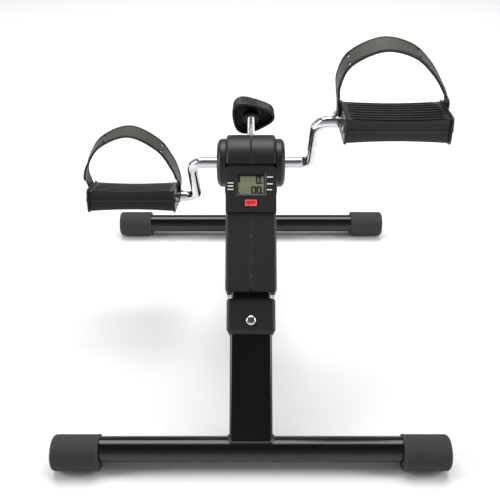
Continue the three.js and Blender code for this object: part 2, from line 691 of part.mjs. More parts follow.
function pedalPlate() {
  const start = PEDAL_HALF + GAP;
  const plate = prismX(roundRect(PLATE.y, PLATE.z, PLATE.corner), start, start + PLATE_THICK);
  const holes = [rodX(SPINDLE_R + 0.6, 0, 60, 0, 0, 20)];
  for (const y of [-PEDAL_SCREW_Y, PEDAL_SCREW_Y]) holes.push(rodX(SCREW_R + GAP, 0, 60, y, 0, 10));
  return cut(plate, ...holes);
}

const plateFace = PEDAL_HALF + GAP + PLATE_THICK;
const strapFoot = plateFace + GAP + STRAP_THICK / 2;

// The strap's middle line as (outward, height) points, from the crank side to the free side.
const ARCH = {
  right: [
    [-53.4, 14], [-55.6, 29], [-56, 45], [-47, 66], [-19, 80.5], [10, 74], [31, 55], [45, 34], [52.4, 20],
  ],
  left: [
    [-54, 16], [-52, 30], [-46.5, 47], [-32, 71], [-1, 88.5], [33, 75], [51, 49], [56.5, 30], [54.8, 15],
  ],
};

function strap(arch, lean) {
  const ends = [[-strapFoot, -7], [-strapFoot, -2], [-strapFoot, 4.5]];
  const line = [...ends, ...arch, ...ends.map(([u, v]) => [-u, v]).reverse()];
  const curve = new THREE.SplineCurve(line.map(([u, v]) => new THREE.Vector2(u, v)));
  const spots = curve.getSpacedPoints(40);
  const side = (offset) => spots.map((spot, i) => {
    const ahead = spots[Math.min(i + 1, spots.length - 1)];
    const behind = spots[Math.max(i - 1, 0)];
    const run = ahead.clone().sub(behind).normalize();
    return [spot.x - run.y * offset, spot.y + run.x * offset];
  });
  const band = [...side(-STRAP_THICK / 2), ...side(STRAP_THICK / 2).reverse()];
  const halfWidth = STRAP_WIDTH / 2;
  const notch = { reach: 6, y: SPINDLE_R + 4.8, bottom: -20, top: 21 };
  const spindleRoom = [-1, 1].map((s) => box(
    s * strapFoot - notch.reach, s * strapFoot + notch.reach,
    STRAP_Y - halfWidth - 1, notch.y, notch.bottom, notch.top,
  ));
  const holes = [-1, 1].map((s) => rodX(
    SCREW_R + GAP, s * strapFoot - notch.reach, s * strapFoot + notch.reach, PEDAL_SCREW_Y, 0, 10,
  ));
  return cut(prismY(band, STRAP_Y - halfWidth, STRAP_Y + halfWidth), ...spindleRoom, ...holes)
    .translate(0, -PEDAL_SCREW_Y, 0).rotateX(lean).translate(0, PEDAL_SCREW_Y, 0);
}

// A pan-head screw along X that clamps whatever lies between its head and the pedal body.
function pedalScrew(face) {
  const head = turned([[face, 0], [face, 3.6], [face + 1.6, 3.2], [face + 2.4, 1.8], [face + 2.4, 0]], 12);
  return join(head, rodX(SCREW_R, PEDAL_HALF - 10, face + 0.5, 0, 0, 10));
}

function pedal(side, sign, tilt, lean) {
  const group = new THREE.Group();
  const reach = CRANK_RADIUS * sign;
  group.position.set(
    sign * PEDAL_X, reach * Math.cos(CRANK_ANGLE), CRANK_HEIGHT + reach * Math.sin(CRANK_ANGLE),
  );
  group.rotation.x = tilt;
  product.add(group);
  const facing = (geometry) => (sign > 0 ? geometry : mirrored(geometry));
  place(group, `pedal_body_${side}`, pedalBody(), pedalPlastic);
  place(group, `pedal_outer_plate_${side}`, facing(pedalPlate()), pedalPlastic);
  place(group, `pedal_inner_plate_${side}`, facing(mirrored(pedalPlate())), pedalPlastic);
  place(group, `strap_${side}`, facing(strap(ARCH[side], lean)), strapRubber);
  const frontScrew = pedalScrew(plateFace + GAP).translate(0, -PEDAL_SCREW_Y, 0);
  const rearScrew = pedalScrew(plateFace + STRAP_THICK + 3 * GAP).translate(0, PEDAL_SCREW_Y, 0);
  place(group, `front_screw_outer_${side}`, facing(frontScrew), steel);
  place(group, `front_screw_inner_${side}`, facing(mirrored(frontScrew)), steel);
  place(group, `strap_screw_outer_${side}`, facing(rearScrew), steel);
  place(group, `strap_screw_inner_${side}`, facing(mirrored(rearScrew)), steel);
}

pedal('right', 1, RIGHT_PEDAL_TILT, RIGHT_STRAP_LEAN);
pedal('left', -1, LEFT_PEDAL_TILT, LEFT_STRAP_LEAN);

export default product;
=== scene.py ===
"""Looks of the folding pedal exerciser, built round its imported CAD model.

Pieces are drawn in millimetres in the frame of the group they belong to, then placed in the row frame.
"""

import json
from math import acos, asin, atan2, cos, hypot, pi, radians, sin, sqrt

import bmesh
import bpy
from mathutils import Matrix, Vector, noise


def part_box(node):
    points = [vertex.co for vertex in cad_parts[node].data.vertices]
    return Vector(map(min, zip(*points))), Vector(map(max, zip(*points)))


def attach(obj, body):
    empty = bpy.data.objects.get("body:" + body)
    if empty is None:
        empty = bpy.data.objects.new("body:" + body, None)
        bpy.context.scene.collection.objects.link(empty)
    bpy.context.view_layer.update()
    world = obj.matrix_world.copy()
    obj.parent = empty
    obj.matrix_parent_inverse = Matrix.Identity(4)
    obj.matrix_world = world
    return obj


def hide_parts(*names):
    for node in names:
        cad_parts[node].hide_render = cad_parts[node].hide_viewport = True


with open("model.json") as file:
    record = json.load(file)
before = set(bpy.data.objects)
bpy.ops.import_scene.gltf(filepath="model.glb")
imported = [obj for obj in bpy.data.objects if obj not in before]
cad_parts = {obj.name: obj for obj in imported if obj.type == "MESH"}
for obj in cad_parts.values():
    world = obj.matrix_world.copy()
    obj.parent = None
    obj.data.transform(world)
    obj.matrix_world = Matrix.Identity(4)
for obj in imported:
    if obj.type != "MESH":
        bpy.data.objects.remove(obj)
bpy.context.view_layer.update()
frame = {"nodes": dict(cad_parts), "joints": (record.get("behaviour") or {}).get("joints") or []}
SCENE = bpy.context.scene
MM = 0.001

# ---------- Frames of the CAD groups, from the record's joints ----------

JOINTS = {j["name"]: j for j in frame["joints"]}
X_AXIS = Vector((1, 0, 0))


def placed(origin, y_axis):
    """Millimetres in a frame with the row's X and with +Y along y_axis, to metres in the row frame."""
    y = Vector(y_axis).normalized()
    basis = Matrix((X_AXIS, y, X_AXIS.cross(y))).transposed().to_4x4()
    return Matrix.Translation(origin) @ basis @ Matrix.Scale(MM, 4)


def middle(node):
    low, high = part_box(node)
    return (low + high) / 2


CRANK_AT = Vector(JOINTS["crank_spin"]["pos_m"])
HINGE_AT = Vector(JOINTS["rear_leg_fold"]["pos_m"])
PEDAL_AT = {s: Vector(JOINTS[f"{s}_pedal_spin"]["pos_m"]) for s in ("left", "right")}
BAR_AT = {end: middle(f"{end}_crossbar") for end in ("front", "rear")}

ROW = Matrix.Scale(MM, 4)
POST = placed(CRANK_AT, JOINTS["reset_press"]["axis"])
REAR = placed(HINGE_AT, JOINTS["lock_pull"]["axis"])
ROD_AXIS = Vector(JOINTS["tension_turn"]["axis"]).normalized()
SCREW = placed(CRANK_AT, ROD_AXIS.cross(X_AXIS))
to_right_pedal = PEDAL_AT["right"] - CRANK_AT
CRANK = placed(CRANK_AT, (0, to_right_pedal.y, to_right_pedal.z))
POST_LENGTH = (CRANK_AT - BAR_AT["front"]).length / MM
REAR_LENGTH = (HINGE_AT - BAR_AT["rear"]).length / MM
MIRROR = Matrix.Scale(-1, 4, X_AXIS)


def pedal_frame(side):
    along = middle(f"strap_screw_outer_{side}") - middle(f"front_screw_outer_{side}")
    turn = placed(PEDAL_AT[side], (0, along.y, along.z))
    return turn if side == "right" else turn @ MIRROR


# ---------- Mesh tools, in millimetres ----------


def arc(u, v, radius, start, end, steps):
    return [
        (
            u + radius * cos(start + (end - start) * i / steps),
            v + radius * sin(start + (end - start) * i / steps),
        )
        for i in range(steps + 1)
    ]


def circle(u, v, radius, sides=64):
    return arc(u, v, radius, 0, 2 * pi, sides)[:sides]


def angles(sides):
    return [2 * pi * i / sides for i in range(sides)]


def round_rect(half_u, half_v, corner, steps=8):
    u, v = half_u - corner, half_v - corner
    corners = [(u, v), (-u, v), (-u, -v), (u, -v)]
    points = []
    for i, (cu, cv) in enumerate(corners):
        points += arc(cu, cv, corner, i * pi / 2, (i + 1) * pi / 2, steps)
    return points


def rounding(start, end, depth, fall, steps=6):
    """(along, inset) steps of a rounded edge that ends at end, depth long and fall deep."""
    way = 1 if end > start else -1
    return [
        (end - way * depth * (1 - sin(pi / 2 * i / steps)), fall * (1 - cos(pi / 2 * i / steps)))
        for i in range(steps + 1)
    ]


def to_object(mesh_data, name="shape"):
    bmesh.ops.recalc_face_normals(mesh_data, faces=mesh_data.faces)
    mesh = bpy.data.meshes.new(name)
    mesh_data.to_mesh(mesh)
    mesh_data.free()
    shape = bpy.data.objects.new(name, mesh)
    SCENE.collection.objects.link(shape)
    return shape


def skin(rings, closed=False):
    """A surface through rings of the same number of points, capped at both ends unless closed."""
    mesh_data = bmesh.new()
    rows = [[mesh_data.verts.new(p) for p in ring] for ring in rings]
    count = len(rows[0])
    pairs = list(zip(rows, rows[1:])) + ([(rows[-1], rows[0])] if closed else [])
    for low, high in pairs:
        for i in range(count):
            j = (i + 1) % count
            mesh_data.faces.new((low[i], low[j], high[j], high[i]))
    if not closed:
        mesh_data.faces.new(rows[0])
        mesh_data.faces.new(rows[-1])
    return to_object(mesh_data)


AXES = {
    "x": lambda a, u, v: (a, u, v),
    "y": lambda a, u, v: (u, a, v),
    "z": lambda a, u, v: (u, v, a),
}


def prism(outline, start, end, axis):
    turn = AXES[axis]
    return skin([[turn(a, u, v) for u, v in outline] for a in (start, end)])


def turned(profile, axis="x", sides=64, centre=(0, 0), closed=False):
    """A profile of (along, radius) points turned about an axis."""
    turn = AXES[axis]
    rings = [[turn(a, u, v) for u, v in circle(*centre, radius, sides)] for a, radius in profile]
    return skin(rings, closed)


def rod(radius, start, end, axis="x", centre=(0, 0), sides=48):
    return turned([(start, radius), (end, radius)], axis, sides, centre)


def block(x0, x1, y0, y1, z0, z1):
    return prism([(x0, y0), (x1, y0), (x1, y1), (x0, y1)], z0, z1, "z")


def moved(shape, matrix):
    shape.data.transform(matrix)
    if matrix.determinant() < 0:
        shape.data.flip_normals()
    return shape


def baked(shape):
    """The shape with its modifiers applied."""
    graph = bpy.context.evaluated_depsgraph_get()
    mesh = bpy.data.meshes.new_from_object(shape.evaluated_get(graph))
    shape.modifiers.clear()
    shape.data = mesh
    return shape


def combined(shape, tools, operation):
    for tool in tools:
        step = shape.modifiers.new("combine", "BOOLEAN")
        step.object, step.operation, step.solver = tool, operation, "EXACT"
    baked(shape)
    for tool in tools:
        bpy.data.objects.remove(tool)
    return shape


def cut(shape, *tools):
    return combined(shape, tools, "DIFFERENCE")


def common(shape, *tools):
    return combined(shape, tools, "INTERSECT")


def joined(*shapes):
    """Several shapes as one object, left as separate shells."""
    mesh_data = bmesh.new()
    for shape in shapes:
        mesh_data.from_mesh(shape.data)
        bpy.data.objects.remove(shape)
    return to_object(mesh_data)


def bevelled(shape, width, segments=3, angle=35):
    step = shape.modifiers.new("bevel", "BEVEL")
    step.width, step.segments, step.limit_method = width, segments, "ANGLE"
    step.angle_limit, step.use_clamp_overlap = radians(angle), True
    step.miter_outer = "MITER_ARC"
    return baked(shape)


def piece(shape, name, place, body, material, nodes=(), smooth=38):
    """Places a finished shape, shades it, gives it its materials, hides the CAD nodes it replaces and
    parents it to its body's empty.
    """
    shape.name = shape.data.name = name
    moved(shape, place)
    shape.data.shade_smooth()
    shape.data.set_sharp_from_angle(angle=radians(smooth))
    weights = shape.modifiers.new("normals", "WEIGHTED_NORMAL")
    weights.keep_sharp = True
    baked(shape)
    materials = material if isinstance(material, list) else [material]
    if len(shape.data.materials) < len(materials):
        shape.data.materials.clear()
        for m in materials:
            shape.data.materials.append(m)
    if nodes:
        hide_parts(*nodes)
    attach(shape, body)
    return shape


def refined(node, bevel=0.25):
    """A copy of a CAD node in millimetres, with its flat faces merged and its edges rounded."""
    source = frame["nodes"][node]
    mesh_data = bmesh.new()
    mesh_data.from_mesh(source.data)
    bmesh.ops.transform(mesh_data, matrix=Matrix.Scale(1 / MM, 4), verts=mesh_data.verts)
    bmesh.ops.remove_doubles(mesh_data, verts=mesh_data.verts, dist=0.002)
    bmesh.ops.dissolve_limit(
        mesh_data, angle_limit=radians(1), verts=mesh_data.verts, edges=mesh_data.edges
    )
    shape = to_object(mesh_data)
    return bevelled(shape, bevel, 2, 40) if bevel else shape


# ---------- Materials ----------


def node_of(tree, kind, **values):
    made = tree.nodes.new(kind)
    for key, value in values.items():
        if key in made.inputs:
            made.inputs[key].default_value = value
        else:
            setattr(made, key, value)
    return made


def ramp(tree, source, stops):
    """The colour output of a ramp of (position, colour) stops, driven by source."""
    made = tree.nodes.new("ShaderNodeValToRGB")
    elements = made.color_ramp.elements
    for element, (position, color) in zip((elements[0], elements[1]), (stops[0], stops[-1])):
        element.position, element.color = position, (*color, 1)
    for position, color in stops[1:-1]:
        elements.new(position).color = (*color, 1)
    tree.links.new(source, made.inputs["Fac"])
    return made.outputs["Color"]


def grey(value):
    return (value, value, value)


def linear(red, green, blue):
    """An 8-bit display colour as scene-linear values."""
    return tuple(
        (c / 255 / 12.92) if c <= 10 else ((c / 255 + 0.055) / 1.055) ** 2.4
        for c in (red, green, blue)
    )


def surface(
    name, color, rough, metal=0.0, vary=0.12, patch=35.0, grain=1800.0, bump=0.15, edge_wear_and_highlight=0.5,
    edge_wear_and_highlight_color=None, rough_vary=0.08, stretch=(1, 1, 1), specular=0.5, dust=0.15,
):
    """A finish with patchy colour, fine grain in bump and gloss, lightened convex edges (worn edges on
    most finishes, painted highlight on some) and dust on top.
    """
    made = bpy.data.materials.new(name)
    made.use_nodes = True
    tree = made.node_tree
    link = tree.links.new
    shader = tree.nodes["Principled BSDF"]
    shader.inputs["Metallic"].default_value = metal
    shader.inputs["Specular IOR Level"].default_value = specular
    coords = tree.nodes.new("ShaderNodeTexCoord").outputs["Object"]
    mapping = tree.nodes.new("ShaderNodeMapping")
    mapping.inputs["Scale"].default_value = stretch
    link(coords, mapping.inputs["Vector"])

    broad = node_of(tree, "ShaderNodeTexNoise", Scale=patch, Detail=1.5, Roughness=0.5)
    link(coords, broad.inputs["Vector"])
    low = tuple(c * (1 - vary) for c in color)
    high = tuple(min(1, c * (1 + vary)) for c in color)
    base = ramp(tree, broad.outputs["Fac"], [(0.2, low), (0.5, color), (0.8, high)])

    fine = node_of(tree, "ShaderNodeTexNoise", Scale=grain, Detail=3.0, Roughness=0.65)
    fine_out = fine.outputs["Fac"]
    link(mapping.outputs["Vector"], fine.inputs["Vector"])
    relief = node_of(tree, "ShaderNodeBump", Strength=bump, Distance=0.0003)
    link(fine_out, relief.inputs["Height"])
    link(relief.outputs["Normal"], shader.inputs["Normal"])

    gloss = node_of(tree, "ShaderNodeMapRange")
    for key, value in (("From Min", 0.3), ("From Max", 0.7)):
        gloss.inputs[key].default_value = value
    gloss.inputs["To Min"].default_value = max(0.02, rough - rough_vary)
    gloss.inputs["To Max"].default_value = min(1, rough + rough_vary)
    link(fine_out, gloss.inputs["Value"])

    # Convex edges, found by pointiness, get a lighter colour: edge wear on most finishes, painted
    # highlight where a finish sets it strong (pedal plastic, red key).
    geometry = tree.nodes.new("ShaderNodeNewGeometry")
    edge = ramp(tree, geometry.outputs["Pointiness"], [(0.505, grey(0)), (0.56, grey(edge_wear_and_highlight))])
    edge_breakup = node_of(tree, "ShaderNodeTexNoise", Scale=260.0, Detail=5.0, Roughness=0.7)
    link(coords, edge_breakup.inputs["Vector"])
    broken = node_of(tree, "ShaderNodeMath", operation="MULTIPLY")
    link(edge, broken.inputs[0])
    link(ramp(tree, edge_breakup.outputs["Fac"], [(0.35, grey(0.25)), (0.65, grey(1))]), broken.inputs[1])
    edge_worn_and_lit = node_of(tree, "ShaderNodeMix", data_type="RGBA")
    link(broken.outputs["Value"], edge_worn_and_lit.inputs["Factor"])
    link(base, edge_worn_and_lit.inputs[6])
    rubbed_and_lit_color = edge_wear_and_highlight_color or tuple(min(1, c * 2.2 + 0.02) for c in color)
    edge_worn_and_lit.inputs[7].default_value = (*rubbed_and_lit_color, 1)

    up = tree.nodes.new("ShaderNodeSeparateXYZ")
    link(geometry.outputs["Normal"], up.inputs["Vector"])
    settled = node_of(tree, "ShaderNodeMath", operation="MULTIPLY")
    settled.use_clamp = True
    link(ramp(tree, up.outputs["Z"], [(0.55, grey(0)), (1.0, grey(dust))]), settled.inputs[0])
    link(ramp(tree, broad.outputs["Fac"], [(0.35, grey(0.3)), (0.7, grey(1))]), settled.inputs[1])
    dusted = node_of(tree, "ShaderNodeMix", data_type="RGBA")
    link(settled.outputs["Value"], dusted.inputs["Factor"])
    link(edge_worn_and_lit.outputs[2], dusted.inputs[6])
    dusted.inputs[7].default_value = (*tuple(min(1, c * 1.5 + 0.03) for c in color), 1)
    link(dusted.outputs[2], shader.inputs["Base Color"])

    matt = node_of(tree, "ShaderNodeMath", operation="ADD")
    matt.use_clamp = True
    link(gloss.outputs["Result"], matt.inputs[0])
    link(settled.outputs["Value"], matt.inputs[1])
    link(matt.outputs["Value"], shader.inputs["Roughness"])
    return made


BLACK_PAINT = surface(
    "gloss_black_powder_coat", linear(6, 6, 7), 0.17, vary=0.06, grain=1600.0, bump=0.015,
    rough_vary=0.03, edge_wear_and_highlight=0.1, edge_wear_and_highlight_color=linear(48, 48, 50), dust=0.02,
)
HOUSING = surface(
    "textured_charcoal_plastic", linear(33, 33, 34), 0.4, vary=0.04, grain=5200.0, bump=0.1,
    rough_vary=0.04, edge_wear_and_highlight=0.06, edge_wear_and_highlight_color=linear(104, 104, 104), specular=0.35, dust=0.03,
)
# The strong light edge colour of this plastic is painted highlight on the tread's rib crests and on the
# edges of treads, plates and side covers.
PEDAL = surface(
    "moulded_black_plastic", linear(21, 21, 22), 0.36, vary=0.06, grain=4200.0, bump=0.1,
    edge_wear_and_highlight=0.4, edge_wear_and_highlight_color=linear(92, 92, 92), specular=0.4, dust=0.05,
)
KNOB = surface(
    "satin_black_plastic", linear(9, 9, 10), 0.36, vary=0.06, grain=4200.0, bump=0.08,
    edge_wear_and_highlight=0.12, edge_wear_and_highlight_color=linear(88, 88, 88), specular=0.3, dust=0.02,
)
RUBBER = surface(
    "cap_rubber", linear(52, 52, 51), 0.72, vary=0.05, patch=60.0, grain=1500.0, bump=0.3,
    edge_wear_and_highlight=0.3, edge_wear_and_highlight_color=linear(88, 88, 86), specular=0.3, dust=0.1,
)
# One black strap plastic in two copies: a lighter one for the centre panel as painted sheen, a darker
# one for rims and edges as painted shade.
STRAP_FACE_PAINTED_SHEEN = surface(
    "strap_face_painted_sheen", linear(64, 62, 58), 0.5, vary=0.05, patch=45.0, grain=2600.0, bump=0.14,
    edge_wear_and_highlight=0.25, edge_wear_and_highlight_color=linear(125, 122, 116), specular=0.4, dust=0.06,
)
STRAP_EDGE_PAINTED_SHADE = surface(
    "strap_edge_painted_shade", linear(14, 14, 14), 0.5, vary=0.08, patch=60.0, grain=1600.0, bump=0.2,
    edge_wear_and_highlight=0.25, edge_wear_and_highlight_color=linear(52, 52, 51), specular=0.35, dust=0.03,
)
CHROME = surface(
    "chrome_plate", linear(226, 228, 232), 0.07, metal=1.0, vary=0.03, grain=900.0, bump=0.012,
    rough_vary=0.035, edge_wear_and_highlight=0.2, edge_wear_and_highlight_color=linear(180, 176, 168), dust=0.03,
)
ZINC = surface(
    "zinc_plate", linear(176, 178, 176), 0.3, metal=1.0, vary=0.1, patch=120.0, grain=700.0,
    bump=0.06, rough_vary=0.1, edge_wear_and_highlight=0.4, edge_wear_and_highlight_color=linear(205, 205, 200), dust=0.05,
)
STEEL = surface(
    "machined_steel", linear(140, 142, 145), 0.32, metal=1.0, vary=0.1, patch=90.0, grain=900.0,
    bump=0.08, rough_vary=0.1, edge_wear_and_highlight=0.4, edge_wear_and_highlight_color=linear(190, 190, 188), stretch=(0.1, 1, 1),
)
NYLON = surface("white_nylon", linear(222, 219, 208), 0.5, grain=1500.0, bump=0.1)
BRASS = surface("brass_pad", linear(160, 128, 66), 0.35, metal=1.0, grain=900.0, bump=0.1)
BOARD = surface("green_board", linear(26, 84, 46), 0.4, grain=900.0, bump=0.08, vary=0.2)
# The strong pale pink edge colour is painted highlight on the key's rim.
RED = surface(
    "red_button_plastic", linear(222, 24, 34), 0.38, vary=0.06, grain=1800.0, bump=0.12,
    edge_wear_and_highlight=0.85, edge_wear_and_highlight_color=linear(250, 150, 150), dust=0.02,
)
LCD = surface(
    "lcd_glass", linear(158, 162, 128), 0.35, vary=0.05, patch=60.0, grain=1400.0, bump=0.04,
    edge_wear_and_highlight=0.1, dust=0.0,
)
# Black for the LCD digits, and for the painted shadow frame round the cell.
INK_AND_SHADE = surface("lcd_ink_and_painted_shade", linear(6, 6, 5), 0.5, vary=0.1, bump=0.03, edge_wear_and_highlight=0.0, dust=0.0)
PRINT = surface("white_print", linear(244, 244, 242), 0.6, vary=0.05, bump=0.05, edge_wear_and_highlight=0.0, dust=0.0)


def window_material():
    made = surface(
        "clear_window", (1, 1, 1), 0.05, vary=0.01, bump=0.01, edge_wear_and_highlight=0.0, rough_vary=0.02, dust=0.0,
    )
    shader = made.node_tree.nodes["Principled BSDF"]
    shader.inputs["Transmission Weight"].default_value = 1.0
    shader.inputs["IOR"].default_value = 1.2
    return made


WINDOW = window_material()

# ---------- Floor bars, end caps and welds ----------

BAR_R, TUBE_WALL = 12.7, 1.5
CAP_R, CAP_LENGTH, CAP_END_WALL, CAP_SOLE_HALF, CAP_LIP = 18.0, 47.0, 3.0, 6.0, 0.3
CAP_ROUNDING = (3.8, 4.0)
LEG_HALF, LEG_CORNER = (21.5, 11.5), 4.0
FIT = 0.3

for end, body in (("front", "stand"), ("rear", "rear_leg")):
    half = (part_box(f"{end}_crossbar")[1].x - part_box(f"{end}_crossbar")[0].x) / 2 / MM
    edge, inner = 0.4, BAR_R - TUBE_WALL
    tube = turned(
        [
            (-half, inner), (-half, BAR_R - edge), (-half + edge, BAR_R),
            (half - edge, BAR_R), (half, BAR_R - edge), (half, inner),
        ],
        sides=96, closed=True,
    )
    at = BAR_AT[end]
    place = Matrix.Translation(at) @ ROW
    piece(tube, f"{end}_crossbar_tube", place, body, BLACK_PAINT, [f"{end}_crossbar"])

    for side, way in (("left", -1), ("right", 1)):
        node = f"{end}_cap_{side}"
        low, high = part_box(node)
        outer = max(abs(low.x), abs(high.x)) / MM
        start = outer - CAP_LENGTH
        axis_z = CAP_R - (CAP_R - sqrt(CAP_R**2 - CAP_SOLE_HALF**2))
        main_r = CAP_R - CAP_LIP
        profile = [(start, CAP_R - 1.2), (start + 0.3, CAP_R - 0.5), (start + 0.9, CAP_R)]
        profile += [(start + 2.2, CAP_R), (start + 2.6, main_r), (outer - 4.0, main_r)]
        profile += [
            (along, main_r - inset) for along, inset in rounding(start, outer, *CAP_ROUNDING, 8)[1:]
        ]
        cap = turned(profile, sides=96)
        bar_y = (at.y - (low.y + high.y) / 2) / MM
        bar_z = at.z / MM - axis_z
        socket = rod(
            BAR_R + FIT, start - 1, outer - CAP_END_WALL, centre=(bar_y, bar_z), sides=96,
        )
        cap = cut(cap, socket)
        cap = common(cap, block(start - 5, outer + 5, -30, 30, -axis_z, 30))
        cap = bevelled(cap, 0.35, 2, 40)
        mirror = MIRROR if way < 0 else Matrix.Identity(4)
        spot = Matrix.Translation((0, (low.y + high.y) / 2, axis_z * MM)) @ ROW @ mirror
        piece(cap, f"{end}_cap_{side}_rubber", spot, body, RUBBER, [node])


BEAD_R, BEAD_RIPPLE, BEAD_UNEVEN, BEAD_STEP = 1.5, 0.22, 0.35, 0.8


def weld_bead(place, length, name, body):
    """A rippled fillet where a leg's outline meets its bar."""
    outline = round_rect(LEG_HALF[0] + 0.3, LEG_HALF[1] - 0.4, LEG_CORNER, 10)
    dense = []
    for (u0, v0), (u1, v1) in zip(outline, outline[1:] + outline[:1]):
        steps = max(1, round(hypot(u1 - u0, v1 - v0) / BEAD_STEP))
        dense += [(u0 + (u1 - u0) * i / steps, v0 + (v1 - v0) * i / steps) for i in range(steps)]
    spots = [Vector((u, v, -length + sqrt(max(0.0, BAR_R**2 - v**2)) + 0.2)) for u, v in dense]
    rings = []
    for i, spot in enumerate(spots):
        ahead = (spots[(i + 1) % len(spots)] - spots[i - 1]).normalized()
        side = ahead.cross(Vector((0, 0, 1))).normalized()
        rise = side.cross(ahead)
        size = BEAD_R + BEAD_RIPPLE * sin(i * 1.9) + BEAD_UNEVEN * noise.noise(spot * 0.35)
        rings.append(
            [spot + side * size * cos(a) + rise * size * sin(a) for a in angles(12)]
        )
    piece(skin(rings, closed=True), name, place, body, BLACK_PAINT, smooth=80)


# ---------- Legs ----------


def leg(top, length):
    outer = prism(round_rect(*LEG_HALF, LEG_CORNER), -length, top, "z")
    inner = prism(
        round_rect(LEG_HALF[0] - TUBE_WALL, LEG_HALF[1] - TUBE_WALL, LEG_CORNER - TUBE_WALL),
        -length - 1, top + 1, "z",
    )
    return cut(outer, inner, rod(BAR_R + FIT, -30, 30, centre=(0, -length), sides=96))


FRONT_LEG_TOP = -154
piece(
    leg(FRONT_LEG_TOP, POST_LENGTH), "front_leg", POST, "stand", BLACK_PAINT,
    ["front_leg_tube"],
)
weld_bead(POST, POST_LENGTH, "front_weld", "stand")

LOCK_REACH, PIVOT_R, LOCK_PIN_R = 26.0, 4.0, 3.5
rear = leg(LEG_HALF[1], REAR_LENGTH)
rounded_end = arc(0, 0, LEG_HALF[1], 0, pi, 24) + [
    (-LEG_HALF[1], -REAR_LENGTH - 20), (LEG_HALF[1], -REAR_LENGTH - 20),
]
rear = common(rear, prism(rounded_end, -30, 30, "x"))
rear = cut(
    rear,
    rod(PIVOT_R + FIT, -30, 30),
    rod(LOCK_PIN_R + FIT, 0, 20, "y", (0, -LOCK_REACH)),
)
piece(rear, "rear_leg", REAR, "rear_leg", BLACK_PAINT, ["rear_leg_tube"])
weld_bead(REAR, REAR_LENGTH, "rear_weld", "rear_leg")

# ---------- Collar and its screw ----------

COLLAR = {"x": 25.0, "y": 15.0, "top": -150.0, "bottom": -187.0, "corner": 4.0}
HEAD_TUBE_ROOM = (19.9, 9.9, 3)
SCREW_Z = -173.0


def collar_ring(z, inset):
    outline = round_rect(COLLAR["x"] - inset, COLLAR["y"] - inset, COLLAR["corner"], 8)
    return [(u, v, z) for u, v in outline]


collar_rings = [collar_ring(COLLAR["bottom"], 3.2), collar_ring(COLLAR["bottom"] + 0.5, 2.5)]
collar_rings += [collar_ring(COLLAR["bottom"] + 4.4, 0.25), collar_ring(COLLAR["bottom"] + 5.0, 0)]
collar_rings += [
    collar_ring(z, inset) for z, inset in rounding(COLLAR["bottom"], COLLAR["top"], 4.0, 3.0, 7)
]
collar = cut(
    skin(collar_rings),
    prism(round_rect(LEG_HALF[0] + FIT, LEG_HALF[1] + FIT, LEG_CORNER), -190, -153.7, "z"),
    prism(round_rect(*HEAD_TUBE_ROOM), -190, -140, "z"),
)
piece(
    bevelled(collar, 0.25, 2, 50), "collar", POST, "stand", HOUSING,
    ["leg_collar"],
)


def cross_screw(radius, height, shank_r, shank_length, sides=48):
    """A domed cross-head screw along X, its head's seat at 0 and its head towards +X."""
    turns = [pi / 2 * i / 8 for i in range(9)]
    dome = [(height * sin(t), radius * (1 - 0.62 * (1 - cos(t)))) for t in turns]
    head = turned([(0, radius - 0.2), *dome[1:]], sides=sides)
    arm, depth = radius * 0.62, height * 0.8
    wide = radius * 0.13
    head = cut(
        head,
        block(height - depth, height + 1, -arm, arm, -wide, wide),
        block(height - depth, height + 1, -wide, wide, -arm, arm),
    )
    return joined(head, rod(shank_r, -shank_length, -0.01, sides=24))


TO_FRONT = Matrix.Rotation(-pi / 2, 4, "Z")
collar_screw = moved(cross_screw(5.3, 2.4, 2.5, 8), Matrix.Rotation(radians(22), 4, "X"))
collar_screw = moved(collar_screw, Matrix.Translation((0, -COLLAR["y"], SCREW_Z)) @ TO_FRONT)
piece(collar_screw, "collar_screw_head", POST, "stand", CHROME, ["collar_screw"])

# ---------- Housing halves ----------

HOUSING_X, HOUSING_WALL, DRUM_R = 26.25, 2.4, 30.0
FRONT_Y, BACK_Y, BOTTOM_Z, NOTCH_Z = -24.0, 22.0, -145.0, -108.0
DISPLAY = {"x": 26.4, "front": -26.3, "back": -18.0, "top": -10.8, "bottom": -62.6}
ROD_TURN = atan2(
    ROD_AXIS.dot(X_AXIS.cross(Vector(JOINTS["reset_press"]["axis"]))),
    ROD_AXIS.dot(Vector(JOINTS["reset_press"]["axis"])),
)
SCREW_SPOTS = [(-16, 15), (-16, -85), (-16, -128)]


def housing_outline(inset):
    radius = DRUM_R - inset
    front, back = FRONT_Y + inset, BACK_Y - inset
    recess, recess_top = DISPLAY["back"] + FIT + inset, DISPLAY["top"] + FIT + inset
    start, stop = pi + asin(-recess_top / radius), -acos(back / radius)
    stub = 9.75
    return [
        *arc(0, 0, radius, start, stop, 72),
        (back, NOTCH_Z + inset), (stub, NOTCH_Z + inset), (stub, BOTTOM_Z + inset + 9),
        (front + 4, BOTTOM_Z + inset), (front + 1.2, BOTTOM_Z + inset + 1.2),
        (front, BOTTOM_Z + inset + 4), (front, DISPLAY["bottom"] - FIT - inset),
        (recess, DISPLAY["bottom"] - FIT - inset), (recess, recess_top),
    ]


